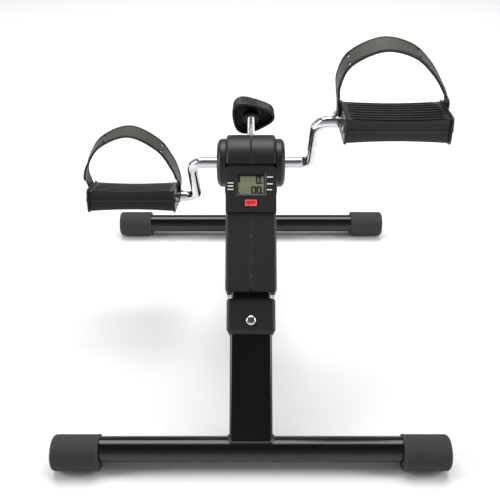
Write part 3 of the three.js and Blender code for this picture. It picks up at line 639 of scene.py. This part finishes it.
def housing_half(side, way):
    seam = 0.15
    profile = [(seam, 0.8), (seam + 0.35, 0.3), (seam + 0.75, 0.0)]
    profile += rounding(seam, HOUSING_X, 3.2, 3.0, 8)
    shape = skin([[(a, y, z) for y, z in housing_outline(inset)] for a, inset in profile])
    tools = [
        prism(housing_outline(HOUSING_WALL + 0.9), -1, HOUSING_X - HOUSING_WALL - 0.9, "x"),
        rod(7.5, -1, HOUSING_X + 1, sides=64),
        moved(rod(5, 18, DRUM_R + 3, "y"), Matrix.Rotation(ROD_TURN, 4, "X")),
        prism(round_rect(*HEAD_TUBE_ROOM), BOTTOM_Z - 1, NOTCH_Z, "z"),
    ]
    if side == "right":
        tools += [rod(3.7, HOUSING_X - 2.6, 30, centre=spot, sides=32) for spot in SCREW_SPOTS]
    shape = cut(shape, *tools)
    mirror = MIRROR if way < 0 else Matrix.Identity(4)
    piece(
        shape, f"head_shell_{side}", POST @ mirror, "stand", HOUSING,
        [f"housing_{side}"], smooth=32,
    )


housing_half("left", -1)
housing_half("right", 1)

for i, (y, z) in enumerate(SCREW_SPOTS, 1):
    screw = moved(cross_screw(3.4, 2.0, 1.7, 30, 32), Matrix.Translation((HOUSING_X - 2.3, y, z)))
    piece(screw, f"shell_screw_{i}", POST, "stand", ZINC, [f"housing_screw_{i}"])

# ---------- Side covers ----------

COVER_START, COVER_END, COVER_R = HOUSING_X + FIT, 36.5, 26.0
for side, way in (("left", -1), ("right", 1)):
    bore = 6.6
    profile = [
        (COVER_START, COVER_R - 2.2), (COVER_START, COVER_R - 0.5), (COVER_START + 0.5, COVER_R),
    ]
    profile += [
        (along, COVER_R - inset) for along, inset in rounding(COVER_START, COVER_END, 5.2, 8.0, 12)
    ]
    profile += [
        (COVER_END, 15.4), (COVER_END - 0.5, 15.0), (COVER_END - 0.5, 14.2), (COVER_END, 13.8),
    ]
    profile += [(COVER_END, bore + 0.5), (COVER_END - 0.5, bore), (COVER_END - 2.2, bore)]
    profile += [(COVER_END - 2.2, COVER_R - 9), (COVER_END - 4, COVER_R - 2.4)]
    cover = turned(profile, sides=128, closed=True)
    mirror = MIRROR if way < 0 else Matrix.Identity(4)
    piece(
        cover, f"round_cover_{side}", POST @ mirror, "stand", PEDAL,
        [f"side_cover_{side}"],
    )

# ---------- Display module ----------

x, front, back = DISPLAY["x"], DISPLAY["front"], DISPLAY["back"]
top, bottom = DISPLAY["top"], DISPLAY["bottom"]
chamfer = 4.2
bezel = prism(
    [
        (-x, bottom + 0.8), (-x + 0.8, bottom), (x - 0.8, bottom), (x, bottom + 0.8),
        (x, top - chamfer), (x - chamfer, top), (-x + chamfer, top), (-x, top - chamfer),
    ],
    front, back, "y",
)
bezel = bevelled(bezel, 1.0, 4, 30)


def frame_ring(half_x, low, high, y):
    return [(-half_x, y, low), (half_x, y, low), (half_x, y, high), (-half_x, y, high)]


window_cut = skin([
    frame_ring(16.4, -45.0, -19.0, front - 0.5), frame_ring(15.9, -44.5, -19.5, front + 0.15),
    frame_ring(14.2, -42.7, -21.4, front + 1.3), frame_ring(14.2, -42.7, -21.4, front + 5),
])
KEY = {"x": 6.15, "z": 3.35, "middle": -52.75}
key_low, key_high = KEY["middle"] - KEY["z"], KEY["middle"] + KEY["z"]
key_cut = skin([
    frame_ring(KEY["x"] + 1.0, key_low - 1.0, key_high + 1.0, front - 0.5),
    frame_ring(KEY["x"] + 0.8, key_low - 0.8, key_high + 0.8, front + 0.1),
    frame_ring(KEY["x"] + FIT, key_low - FIT, key_high + FIT, front + 0.7),
    frame_ring(KEY["x"] + FIT, key_low - FIT, key_high + FIT, front + 5),
])
hollow = block(-x + 2.2, x - 2.2, front + 2.2, back + 1, bottom + 2.2, top - 2.2)
bezel = cut(bezel, hollow, window_cut, key_cut)
lug_rings = []
for way in (-1, 1):
    outline = [(way * 25.9, -42.5), (way * 27.2, -40.5), (way * 27.2, -35.0), (way * 25.9, -33.0)]
    lug_rings.append(bevelled(prism(outline, front + 1.2, back + 1.0, "y"), 0.4, 2, 20))
bezel = joined(bezel, *lug_rings)
piece(bezel, "counter_bezel", POST, "stand", HOUSING, ["display_bezel"])

glass_front = front + 2.2 + FIT
glass = bevelled(block(-17, 17, glass_front, glass_front + 1, -46, -18.5), 0.2, 2)
piece(glass, "counter_window", POST, "stand", WINDOW, ["display_window"])
lcd_front = glass_front + 1 + FIT
lcd = bevelled(block(-16.5, 16.5, lcd_front, lcd_front + 2, -45.5, -19), 0.25, 2)
piece(lcd, "lcd_cell", POST, "stand", LCD, ["lcd_panel"])

SEGMENTS = {
    "a": ((0.14, 1.0), (0.86, 1.0)), "b": ((1.0, 0.94), (1.0, 0.56)),
    "c": ((1.0, 0.44), (1.0, 0.06)), "d": ((0.14, 0.0), (0.86, 0.0)),
    "e": ((0.0, 0.44), (0.0, 0.06)), "f": ((0.0, 0.94), (0.0, 0.56)),
}
ZERO, ONE = "abcdef", "bc"
STROKE = 1.8


def bar_mark(a, b, y, thick=0.12, width=STROKE):
    """A short stroke with pointed ends on the display's plane, from a to b as (x, z)."""
    start, stop = Vector((a[0], a[1])), Vector((b[0], b[1]))
    run = (stop - start).normalized()
    side = Vector((-run.y, run.x)) * width / 2
    tip = run * width / 2
    ring = [start - tip, start + side, stop + side, stop + tip, stop - side, start - side]
    return prism([tuple(p) for p in ring], y, y + thick, "y")


def glyph(left, low, width, height, parts, y):
    strokes = []
    for part in parts:
        ends = [(left + u * width, low + v * height) for u, v in SEGMENTS[part]]
        strokes.append(bar_mark(*ends, y))
    return strokes


ink_y = lcd_front - 0.13
ink = glyph(5.9, -30.6, 3.6, 7.6, ZERO, ink_y)
ink += glyph(1.0, -41.6, 3.6, 7.2, ZERO, ink_y) + glyph(6.5, -41.6, 3.6, 7.2, ZERO, ink_y)
ink += glyph(-15.6, -29.4, 3.2, 6.4, ONE, ink_y)
ink += [bar_mark((x0, z), (x0 + 0.5, z), ink_y) for x0, z in ((11.2, -30.4), (11.6, -41.4))]
ink.append(bar_mark((-12.9, -41.0), (-12.1, -41.8), ink_y))
piece(joined(*ink), "lcd_digits", POST, "stand", INK_AND_SHADE)
# A black frame laid round the cell's face is painted shadow, standing for the shade cast by the
# window's recess.
SHADOW_FRAME_OUTER, SHADOW_FRAME_INNER = (16.3, -45.3, -19.2), (13.4, -42.2, -22.4)
shadow_frame = skin(
    [frame_ring(*edge, y) for edge, y in (
        (SHADOW_FRAME_OUTER, ink_y), (SHADOW_FRAME_INNER, ink_y), (SHADOW_FRAME_INNER, ink_y + 0.1), (SHADOW_FRAME_OUTER, ink_y + 0.1),
    )],
    closed=True,
)
piece(shadow_frame, "lcd_painted_shadow_frame", POST, "stand", INK_AND_SHADE)

MARK_ROWS = {
    -31.2: [(-24.0, -22.6), (-22.0, -20.4), (-19.9, -18.6)],
    -34.6: [(-24.0, -21.8), (-21.2, -18.8)],
    -38.2: [(-24.0, -22.2), (-21.6, -20.2), (-19.7, -18.7)],
    -24.8: [(16.9, 18.4), (18.9, 20.3), (20.8, 22.6)],
    -32.2: [(16.9, 19.4), (20.0, 22.2)],
    -38.6: [(16.9, 18.8), (19.3, 21.4)],
}
marks = [
    bar_mark((x0, z), (x1, z), front - 0.05, 0.1, 1.15)
    for z, spans in MARK_ROWS.items()
    for x0, x1 in spans
]
piece(joined(*marks), "counter_ticks", POST, "stand", PRINT)

key_front, key_tail = front - 0.6, -21.5
key = skin([
    frame_ring(KEY["x"], key_low, key_high, key_tail),
    frame_ring(KEY["x"], key_low, key_high, key_front),
])
dish = skin([
    frame_ring(KEY["x"] - 0.9, key_low + 0.9, key_high - 0.9, key_front - 0.2),
    frame_ring(KEY["x"] - 1.1, key_low + 1.1, key_high - 1.1, key_front + 0.15),
    frame_ring(KEY["x"] - 2.4, key_low + 2.2, key_high - 2.2, key_front + 0.3),
])
key = bevelled(cut(bevelled(key, 0.5, 3), dish), 0.12, 2)
piece(key, "reset_key_cap", POST, "reset_key", RED, ["reset_button"])

# ---------- Knob and tension rod ----------

KNOB_FLOOR, KNOB_DEPTH, KNOB_TURN = 63.0, 16.0, radians(-6)
KNOB_SIDES, KNOB_RIBS = 480, 60
HUB_R, ROD_R, ROD_IN_KNOB = 9.0, 4.0, 8.0


def knob_ring(z, inset, ribbed=0.0, hub=None, blend=0.0):
    ring = []
    for i in range(KNOB_SIDES):
        angle = 2 * pi * i / KNOB_SIDES
        lobe = 3 * (angle - KNOB_TURN)
        radius = 23.6 + 3.1 * cos(lobe) + 0.4 * cos(2 * lobe) - inset
        radius -= ribbed * (0.5 - 0.5 * cos(KNOB_RIBS * angle))
        if hub is not None:
            radius = radius * (1 - blend) + hub * blend
        ring.append((radius * cos(angle), radius * sin(angle), z + KNOB_FLOOR))
    return ring


RIB = 0.75
knob_rings = [
    knob_ring(KNOB_DEPTH - 0.4, 18), knob_ring(KNOB_DEPTH - 0.1, 12), knob_ring(KNOB_DEPTH, 6.5),
    knob_ring(KNOB_DEPTH - 0.5, 4.4), knob_ring(KNOB_DEPTH - 1.7, 2.6),
    knob_ring(KNOB_DEPTH - 2.9, 1.5),
    knob_ring(KNOB_DEPTH - 3.6, 1.15), knob_ring(KNOB_DEPTH - 4.2, 0.95, RIB * 0.5),
    knob_ring(KNOB_DEPTH - 4.9, 0.85, RIB), knob_ring(6, 0.4, RIB), knob_ring(2.6, 0.12, RIB),
    knob_ring(2.0, 0.1, RIB * 0.4), knob_ring(1.6, 0.1), knob_ring(0.5, 0.05), knob_ring(0.1, 0.3),
    knob_ring(0, 0.8), knob_ring(0, 1.7), knob_ring(0.2, 2.1), knob_ring(0.7, 2.4), knob_ring(5.6, 3.0),
    knob_ring(6.6, 3.4), knob_ring(7.0, 4.4),
]
for radius, blend, z in (
    (18.5, 0.85, 7.0), (17.6, 1, 6.9), (17.2, 1, 6.3), (16.4, 1, 6.3), (16.0, 1, 6.9),
):
    knob_rings.append(knob_ring(z, 0, hub=radius, blend=blend))
for radius, z in (
    (13.4, 7.0), (13.0, 6.4), (12.3, 6.4), (11.9, 7.0), (HUB_R + 0.4, 7.0), (HUB_R, 6.6),
    (HUB_R, 0.6), (HUB_R - 0.4, 0.1), (HUB_R - 0.9, 0), (ROD_R + 0.9, 0), (ROD_R + FIT, 0.6),
    (ROD_R + FIT, ROD_IN_KNOB + FIT),
):
    knob_rings.append(knob_ring(z, 0, hub=radius, blend=1))
piece(
    skin(knob_rings), "three_lobe_knob", SCREW, "tension_screw", KNOB,
    ["tension_knob"], smooth=50,
)


THREAD_PITCH, THREAD_ROOT_R, ROD_END_R = 1.25, 3.45, 3.2


def threaded_rod():
    """A rod along Z with a helical thread."""
    start, stop, sides, step = 10.3, KNOB_FLOOR + ROD_IN_KNOB, 40, 0.2
    rings = [[(ROD_END_R * cos(a), ROD_END_R * sin(a), start) for a in angles(sides)]]
    z = start + 0.4
    while z < stop - 0.4:
        ring = []
        for angle in angles(sides):
            phase = (z / THREAD_PITCH - angle / (2 * pi)) % 1
            crest = 1 - min(1.0, abs(phase - 0.5) / 0.4)
            radius = THREAD_ROOT_R + (ROD_R - THREAD_ROOT_R) * min(1.0, crest * 1.4)
            ring.append((radius * cos(angle), radius * sin(angle), z))
        rings.append(ring)
        z += step
    rings.append([(ROD_END_R * cos(a), ROD_END_R * sin(a), stop) for a in angles(sides)])
    return skin(rings)


piece(
    threaded_rod(), "threaded_rod", SCREW, "tension_screw", CHROME,
    ["tension_rod"], smooth=70,
)

# ---------- Cranks and spindles ----------

CRANK_R, ROD_BEND, ARM_X, AXLE_END = 6.0, 13.0, 64.5, 30.0
CRANK_REACH = hypot(to_right_pedal.y, to_right_pedal.z) / MM
SPINDLE_START, SPINDLE_R = 85.4, 5.0


def crank_arm(way):
    path = [(AXLE_END + FIT, 0.0), (AXLE_END + FIT + 0.7, 0.0), (40, 0.0)]
    path += arc(ARM_X - ROD_BEND, ROD_BEND, ROD_BEND, -pi / 2, 0, 20)
    path += [(ARM_X, ROD_BEND + (CRANK_REACH - 2 * ROD_BEND) * i / 6) for i in range(1, 6)]
    path += arc(ARM_X + ROD_BEND, CRANK_REACH - ROD_BEND, ROD_BEND, pi, pi / 2, 20)
    path += [(SPINDLE_START - FIT - 0.7, CRANK_REACH), (SPINDLE_START - FIT, CRANK_REACH)]
    rings = []
    for i, (u, v) in enumerate(path):
        before, after = path[max(i - 1, 0)], path[min(i + 1, len(path) - 1)]
        ahead = Vector((after[0] - before[0], after[1] - before[1])).normalized()
        side = Vector((-ahead.y, ahead.x))
        radius = CRANK_R - (0.6 if i in (0, len(path) - 1) else 0)
        rings.append([
            (
                way * (u + side.x * radius * cos(a)), way * (v + side.y * radius * cos(a)),
                radius * sin(a),
            )
            for a in angles(48)
        ])
    return skin(rings)


for side, way in (("left", -1), ("right", 1)):
    piece(
        crank_arm(way), f"crank_rod_{side}", CRANK, "crank_set", CHROME,
        [f"crank_arm_{side}"], smooth=50,
    )
    outer = max(abs(c.x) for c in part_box(f"spindle_{side}")) / MM
    profile = [
        (SPINDLE_START, SPINDLE_R - 0.4), (SPINDLE_START + 0.4, SPINDLE_R), (outer - 3.6, SPINDLE_R),
        (outer - 3.6, SPINDLE_R + 1.6), (outer - 3.2, SPINDLE_R + 2), (outer - 1.2, SPINDLE_R + 1.9),
        (outer - 0.5, SPINDLE_R + 1.1), (outer - 0.1, SPINDLE_R - 0.6), (outer, SPINDLE_R - 2.5),
    ]
    spindle = turned([(way * a, r) for a, r in profile], sides=48, centre=(way * CRANK_REACH, 0))
    piece(spindle, f"pedal_axle_{side}", CRANK, "crank_set", STEEL, [f"spindle_{side}"])

# ---------- Pedals ----------

PEDAL_HALF, PEDAL_EDGE, PEDAL_TOP, PEDAL_SAG = 48.6, 26.0, 12.0, 1.8
RIBS, RIB_PITCH, RIB_HEIGHT = 7, 6.4, 3.0
PLATE_THICK, PLATE_START, PEDAL_SCREW_Y = 2.2, PEDAL_HALF + FIT, 20.0
PLATE_FACE = PLATE_START + PLATE_THICK


def pedal_section(x_at, dip, groove):
    """A tread section at x_at; dip lowers its face and groove opens the valleys between ribs."""
    top_z = PEDAL_TOP - dip
    tread = [(PEDAL_EDGE - 1.0, top_z - 0.7), (PEDAL_EDGE - 1.5, top_z)]
    for i in range(RIBS):
        centre = RIB_PITCH * ((RIBS - 1) / 2 - i)
        depth = RIB_HEIGHT * groove
        flank = [(2.5, 1.0), (1.9, 0.9), (1.35, 0.15), (0.95, 0.0)]
        tread += [(centre + u, top_z - depth * d) for u, d in flank]
        tread += [(centre - u, top_z - depth * d) for u, d in reversed(flank)]
    tread += [(-PEDAL_EDGE + 1.5, top_z), (-PEDAL_EDGE + 1.0, top_z - 0.7)]
    line = [
        (-PEDAL_EDGE + 1.0, 1.1), (-PEDAL_EDGE + 0.15, 0.7), (-PEDAL_EDGE + 0.15, -0.7),
        (-PEDAL_EDGE + 1.0, -1.1),
    ]
    half = tread + line
    return [(x_at, y, z) for y, z in half] + [(x_at, -y, -z) for y, z in half]


def pedal_body():
    rings = []
    steps = 40
    for i in range(steps + 1):
        t = -1 + 2 * i / steps
        margin = (1 - abs(t)) * PEDAL_HALF
        groove = min(1.0, max(0.0, (margin - 3.2) / 2.4))
        groove = groove * groove * (3 - 2 * groove)
        rings.append(pedal_section(t * (PEDAL_HALF - 0.5), PEDAL_SAG * (1 - t * t), groove))
    first = [(-PEDAL_HALF, y * 0.985, z * 0.965) for _, y, z in rings[0]]
    last = [(PEDAL_HALF, y * 0.985, z * 0.965) for _, y, z in rings[-1]]
    return cut(skin([first, *rings, last]), rod(SPINDLE_R + 0.6, -60, 60))


def end_plate(way):
    rings = []
    profile = [(0.0, 0.4), (0.15, 0.1), (0.4, 0.0)]
    profile += rounding(0.0, PLATE_THICK, 0.7, 0.7, 4)
    for along, inset in profile:
        outline = round_rect(27.5 - inset, 14 - inset, 5 - inset, 8)
        rings.append([(way * (PLATE_START + along), u, v) for u, v in outline])
    return cut(skin(rings), rod(SPINDLE_R + 0.6, -60, 60))


STRAP_WIDTH, STRAP_THICK, STRAP_Y = 25.0, 2.5, 14.0
STRAP_FOOT = PLATE_FACE + FIT + STRAP_THICK / 2
LEAN = {"right": radians(14), "left": radians(22)}
ARCH = {
    "right": [
        (-53.4, 14), (-55.6, 29), (-56, 45), (-47, 66), (-19, 80.5), (10, 74), (31, 55), (45, 34),
        (52.4, 20),
    ],
    "left": [
        (-54, 16), (-52, 30), (-46.5, 47), (-32, 71), (-1, 88.5), (33, 75), (51, 49), (56.5, 30),
        (54.8, 15),
    ],
}
FEET = [(-STRAP_FOOT, -7.0), (-STRAP_FOOT, -2.0), (-STRAP_FOOT, 4.5)]
# The straps' feet are narrow, clear of the spindle, and widen above the pedal.
STRAP_FOOT_NEAR, WIDEN_FROM, WIDEN_TO = 9.9, 21, 33
SLOT_ROWS, SLOT_ACROSS = (0.315, 0.615), 6.9


def spline(points, per_span=40):
    """A uniform Catmull-Rom curve through the points."""
    made = []
    for i in range(len(points) - 1):
        p0, p1 = points[max(i - 1, 0)], points[i]
        p2, p3 = points[i + 1], points[min(i + 2, len(points) - 1)]
        for k in range(per_span):
            t = k / per_span
            made.append(tuple(
                0.5 * (
                    2 * b + (c - a) * t + (2 * a - 5 * b + 4 * c - d) * t * t
                    + (3 * b - a - 3 * c + d) * t**3
                )
                for a, b, c, d in zip(p0, p1, p2, p3)
            ))
    made.append(points[-1])
    return made


def evenly(points, count):
    lengths = [0.0]
    for a, b in zip(points, points[1:]):
        lengths.append(lengths[-1] + hypot(b[0] - a[0], b[1] - a[1]))
    spots, j = [], 0
    for i in range(count + 1):
        want = lengths[-1] * i / count
        while j < len(points) - 2 and lengths[j + 1] < want:
            j += 1
        share = (want - lengths[j]) / max(1e-9, lengths[j + 1] - lengths[j])
        spots.append(tuple(a + (b - a) * share for a, b in zip(points[j], points[j + 1])))
    return spots


def smooth_step(value, low, high):
    t = min(1.0, max(0.0, (value - low) / (high - low)))
    return t * t * (3 - 2 * t)


def strap(side):
    line = FEET + ARCH[side] + [(-u, v) for u, v in reversed(FEET)]
    spots = evenly(spline(line), 150)
    half_t, rim, hollow = STRAP_THICK / 2, 2.1, 0.5
    rings = []
    for i, (u, v) in enumerate(spots):
        before, after = spots[max(i - 1, 0)], spots[min(i + 1, len(spots) - 1)]
        run = Vector((after[0] - before[0], after[1] - before[1])).normalized()
        out = (-run.y, run.x)
        rear = STRAP_Y + STRAP_WIDTH / 2
        narrow = STRAP_Y - STRAP_WIDTH / 2
        widened = smooth_step(v, WIDEN_FROM, WIDEN_TO)
        near = STRAP_FOOT_NEAR + (narrow - STRAP_FOOT_NEAR) * widened
        foot = smooth_step(min(i, len(spots) - 1 - i), 3, 12)
        sunk = hollow * foot
        section = [
            (near + 0.5, half_t), (near + rim, half_t), (near + rim + 0.5, half_t - sunk),
            (rear - rim - 0.5, half_t - sunk), (rear - rim, half_t), (rear - 0.5, half_t),
            (rear, half_t - 0.5), (rear, -half_t + 0.5), (rear - 0.5, -half_t), (rear - rim, -half_t),
            (rear - rim - 0.5, -half_t + sunk * 0.6), (near + rim + 0.5, -half_t + sunk * 0.6),
            (near + rim, -half_t), (near + 0.5, -half_t), (near, -half_t + 0.5), (near, half_t - 0.5),
        ]
        rings.append([(u + out[0] * t, y, v + out[1] * t) for y, t in section])
    shape = skin(rings)
    tools = []
    for share in SLOT_ROWS:
        i = round(share * (len(spots) - 1))
        (u0, v0), (u1, v1) = spots[i - 1], spots[i + 1]
        run, level = Vector((u1 - u0, 0, v1 - v0)).normalized(), Vector((0, 1, 0))
        basis = Matrix((run, level, run.cross(level))).transposed().to_4x4()
        for across in (-SLOT_ACROSS, SLOT_ACROSS):
            at = Vector((spots[i][0], STRAP_Y + across, spots[i][1]))
            slot_shape = prism(round_rect(1.3, 2.8, 1.2, 5), -3, 3, "z")
            tools.append(moved(slot_shape, Matrix.Translation(at) @ basis))
    tools += [rod(2 + FIT, -60, 60, centre=(PEDAL_SCREW_Y, 0), sides=32)]
    shape = cut(shape, *tools)
    # Centre panel faces get the lighter painted-sheen copy, rims and edges the darker painted-shade
    # copy.
    faces = shape.data.polygons
    shape.data.materials.append(STRAP_EDGE_PAINTED_SHADE)
    shape.data.materials.append(STRAP_FACE_PAINTED_SHEEN)
    inner_y = (STRAP_Y - STRAP_WIDTH / 2 + rim + 0.4, STRAP_Y + STRAP_WIDTH / 2 - rim - 0.4)
    for face in faces:
        sheen_panel = abs(face.normal.y) < 0.25 and inner_y[0] < face.center.y < inner_y[1]
        face.material_index = 1 if sheen_panel and face.area > 2.0 else 0
    turn = Matrix.Translation((0, PEDAL_SCREW_Y, 0)) @ Matrix.Rotation(LEAN[side], 4, "X")
    return moved(shape, turn @ Matrix.Translation((0, -PEDAL_SCREW_Y, 0)))


for side in ("left", "right"):
    place, body = pedal_frame(side), f"{side}_pedal"
    piece(
        pedal_body(), f"pedal_tread_{side}", place, body, PEDAL,
        [f"pedal_body_{side}"], smooth=40,
    )
    piece(
        strap(side), f"foot_strap_{side}", place, body, [STRAP_EDGE_PAINTED_SHADE, STRAP_FACE_PAINTED_SHEEN],
        [f"strap_{side}"], smooth=45,
    )
    for where, way in (("outer", 1), ("inner", -1)):
        piece(
            end_plate(way), f"pedal_plate_{where}_{side}", place, body, PEDAL,
            [f"pedal_{where}_plate_{side}"],
        )
        turn = Matrix.Identity(4) if way > 0 else Matrix.Rotation(pi, 4, "Z")
        for kind, y, seat in (
            ("front", -PEDAL_SCREW_Y, PLATE_FACE + FIT),
            ("strap", PEDAL_SCREW_Y, PLATE_FACE + STRAP_THICK + 3 * FIT),
        ):
            screw = moved(cross_screw(3.6, 2.4, 2.0, 12, 32), Matrix.Rotation(y * 0.07, 4, "X"))
            spot = Matrix.Translation((way * seat, y, 0)) @ turn
            piece(
                moved(screw, spot), f"{kind}_screw_{where}_{side}_head", place, body, STEEL,
                [f"{kind}_screw_{where}_{side}"],
            )

# ---------- Fold hinge and lock ----------

piece(
    refined("hinge_bracket", 0.35), "fold_bracket", ROW, "stand", ZINC,
    ["hinge_bracket"],
)
HINGE = POST.inverted() @ HINGE_AT
HEAD_START, PIVOT_HEAD_R = 25.7, 6.0
dome = [
    (HEAD_START, PIVOT_HEAD_R - 0.3), (HEAD_START + 0.3, PIVOT_HEAD_R),
    (HEAD_START + 0.9, PIVOT_HEAD_R - 0.1),
    (HEAD_START + 1.4, PIVOT_HEAD_R - 0.7), (HEAD_START + 1.75, PIVOT_HEAD_R - 1.6),
]
centre = (HINGE.y, HINGE.z)
bolt = joined(
    turned([(-a, r) for a, r in [*dome, (HEAD_START + 1.9, 3.0)]], sides=48, centre=centre),
    rod(PIVOT_R, -HEAD_START + 0.1, HEAD_START + 1.5, centre=centre),
)
piece(bolt, "pivot_bolt_head", POST, "stand", ZINC, ["pivot_bolt"])
nut = turned(
    [(HEAD_START, PIVOT_R + FIT), *dome, (HEAD_START + 1.9, PIVOT_R + FIT)],
    sides=48, centre=centre, closed=True,
)
piece(nut, "pivot_nut_ring", POST, "stand", ZINC, ["pivot_nut"])

LOCK = REAR @ Matrix.Translation((0, 0, -LOCK_REACH))
barrel_start, barrel_end, barrel_r = 17.8, 29.0, 7.0
barrel_bore = LOCK_PIN_R + FIT
barrel = turned(
    [
        (barrel_start, barrel_bore), (barrel_start, barrel_r + 1.7), (barrel_start + 0.3, barrel_r + 2),
        (barrel_start + 2.6, barrel_r + 2), (barrel_start + 3, barrel_r + 1.6),
        (barrel_start + 3.2, barrel_r), (barrel_end - 0.6, barrel_r), (barrel_end, barrel_r - 0.6),
        (barrel_end, barrel_bore),
    ],
    "y", closed=True,
)
piece(barrel, "lock_barrel_sleeve", LOCK, "stand", ZINC, ["lock_barrel"])
nose, grip_start, grip_end, grip_r = 12.7, 31.0, 41.0, 8.5
grip = [(nose, LOCK_PIN_R - 0.8), (nose + 0.8, LOCK_PIN_R), (grip_start, LOCK_PIN_R)]
grip += [(grip_start, grip_r - 1.4), (grip_start + 0.5, grip_r - 0.5), (grip_start + 1.4, grip_r)]
for i in range(4):
    at = grip_start + 2.4 + i * 1.5
    grip += [(at, grip_r), (at + 0.3, grip_r - 0.5), (at + 0.8, grip_r - 0.5), (at + 1.1, grip_r)]
grip += [(grip_end - 1.2, grip_r - 0.2), (grip_end - 0.4, grip_r - 1.1), (grip_end, grip_r - 2.4)]
piece(
    turned(grip, "y"), "lock_plunger_grip", LOCK, "lock_plunger", BLACK_PAINT,
    ["lock_pin"],
)

# ---------- CAD nodes that stay, with better materials ----------

KEPT = {
    "head_frame": BLACK_PAINT, "bush_left": NYLON, "bush_right": NYLON, "brake_shoe": BRASS,
    "crank_axle": STEEL, "crank_coupler_left": STEEL, "crank_coupler_right": STEEL,
    "sensor_magnet": STEEL, "display_board": BOARD, "button_cell": STEEL, "reed_switch": LCD,
}
for name, material in KEPT.items():
    node = frame["nodes"][name]
    node.data.materials.clear()
    node.data.materials.append(material)
    node.data.polygons.foreach_set("material_index", [0] * len(node.data.polygons))

# ---------- Floor, light and camera ----------


def stage_material():
    made = bpy.data.materials.new("pale_floor")
    made.use_nodes = True
    tree = made.node_tree
    shader = tree.nodes["Principled BSDF"]
    shader.inputs["Roughness"].default_value = 0.9
    shader.inputs["Specular IOR Level"].default_value = 0.1
    speckle = node_of(tree, "ShaderNodeTexNoise", Scale=3.0, Detail=3.0)
    color = ramp(tree, speckle.outputs["Fac"], [(0.3, grey(0.86)), (0.7, grey(0.89))])
    tree.links.new(color, shader.inputs["Base Color"])
    return made


FLOOR_HALF, FLOOR_BELOW = 6000.0, (-20, -0.2)
floor = block(-FLOOR_HALF, FLOOR_HALF, -FLOOR_HALF, FLOOR_HALF, *FLOOR_BELOW)
floor.name = "studio_floor"
moved(floor, ROW)
floor.data.materials.append(stage_material())


def area_light(name, at, aim, size, power):
    data = bpy.data.lights.new(name, "AREA")
    data.shape, data.size, data.size_y = "RECTANGLE", size[0], size[1]
    data.energy = power
    lamp = bpy.data.objects.new(name, data)
    lamp.location = at
    lamp.rotation_euler = (Vector(aim) - Vector(at)).to_track_quat("-Z", "Y").to_euler()
    SCENE.collection.objects.link(lamp)


area_light("overhead", (0, 0.95, 2.8), (0, 0, 0), (3.0, 1.8), 96)
area_light("left_soft", (-1.6, -0.3, 0.9), (0, 0, 0.15), (0.4, 1.4), 16)
area_light("right_soft", (1.6, -0.3, 0.9), (0, 0, 0.15), (0.4, 1.4), 16)

world = bpy.data.worlds.new("soft_room")
SCENE.world = world
world.use_nodes = True
tree = world.node_tree
backdrop = tree.nodes["Background"]
direction = tree.nodes.new("ShaderNodeTexCoord").outputs["Generated"]
height = tree.nodes.new("ShaderNodeSeparateXYZ")
tree.links.new(direction, height.inputs["Vector"])
sky = ramp(tree, height.outputs["Z"], [(0.0, grey(0.62)), (0.3, grey(0.36)), (0.8, grey(0.08))])
tree.links.new(sky, backdrop.inputs["Color"])
backdrop.inputs["Strength"].default_value = 1.0
SCENE.view_settings.view_transform = "Standard"

CAMERA_AT, CAMERA_PITCH = (0, -0.6765, 0.566), 33.75
camera_data = bpy.data.cameras.new("photo_camera")
camera_data.lens, camera_data.sensor_width = 49.68, 36.0
camera_data.shift_x = -0.002
camera_data.clip_start = 0.02
camera = bpy.data.objects.new("photo_camera", camera_data)
camera.location = CAMERA_AT
camera.rotation_euler = (radians(90 - CAMERA_PITCH), 0, 0)
SCENE.collection.objects.link(camera)
SCENE.camera = camera

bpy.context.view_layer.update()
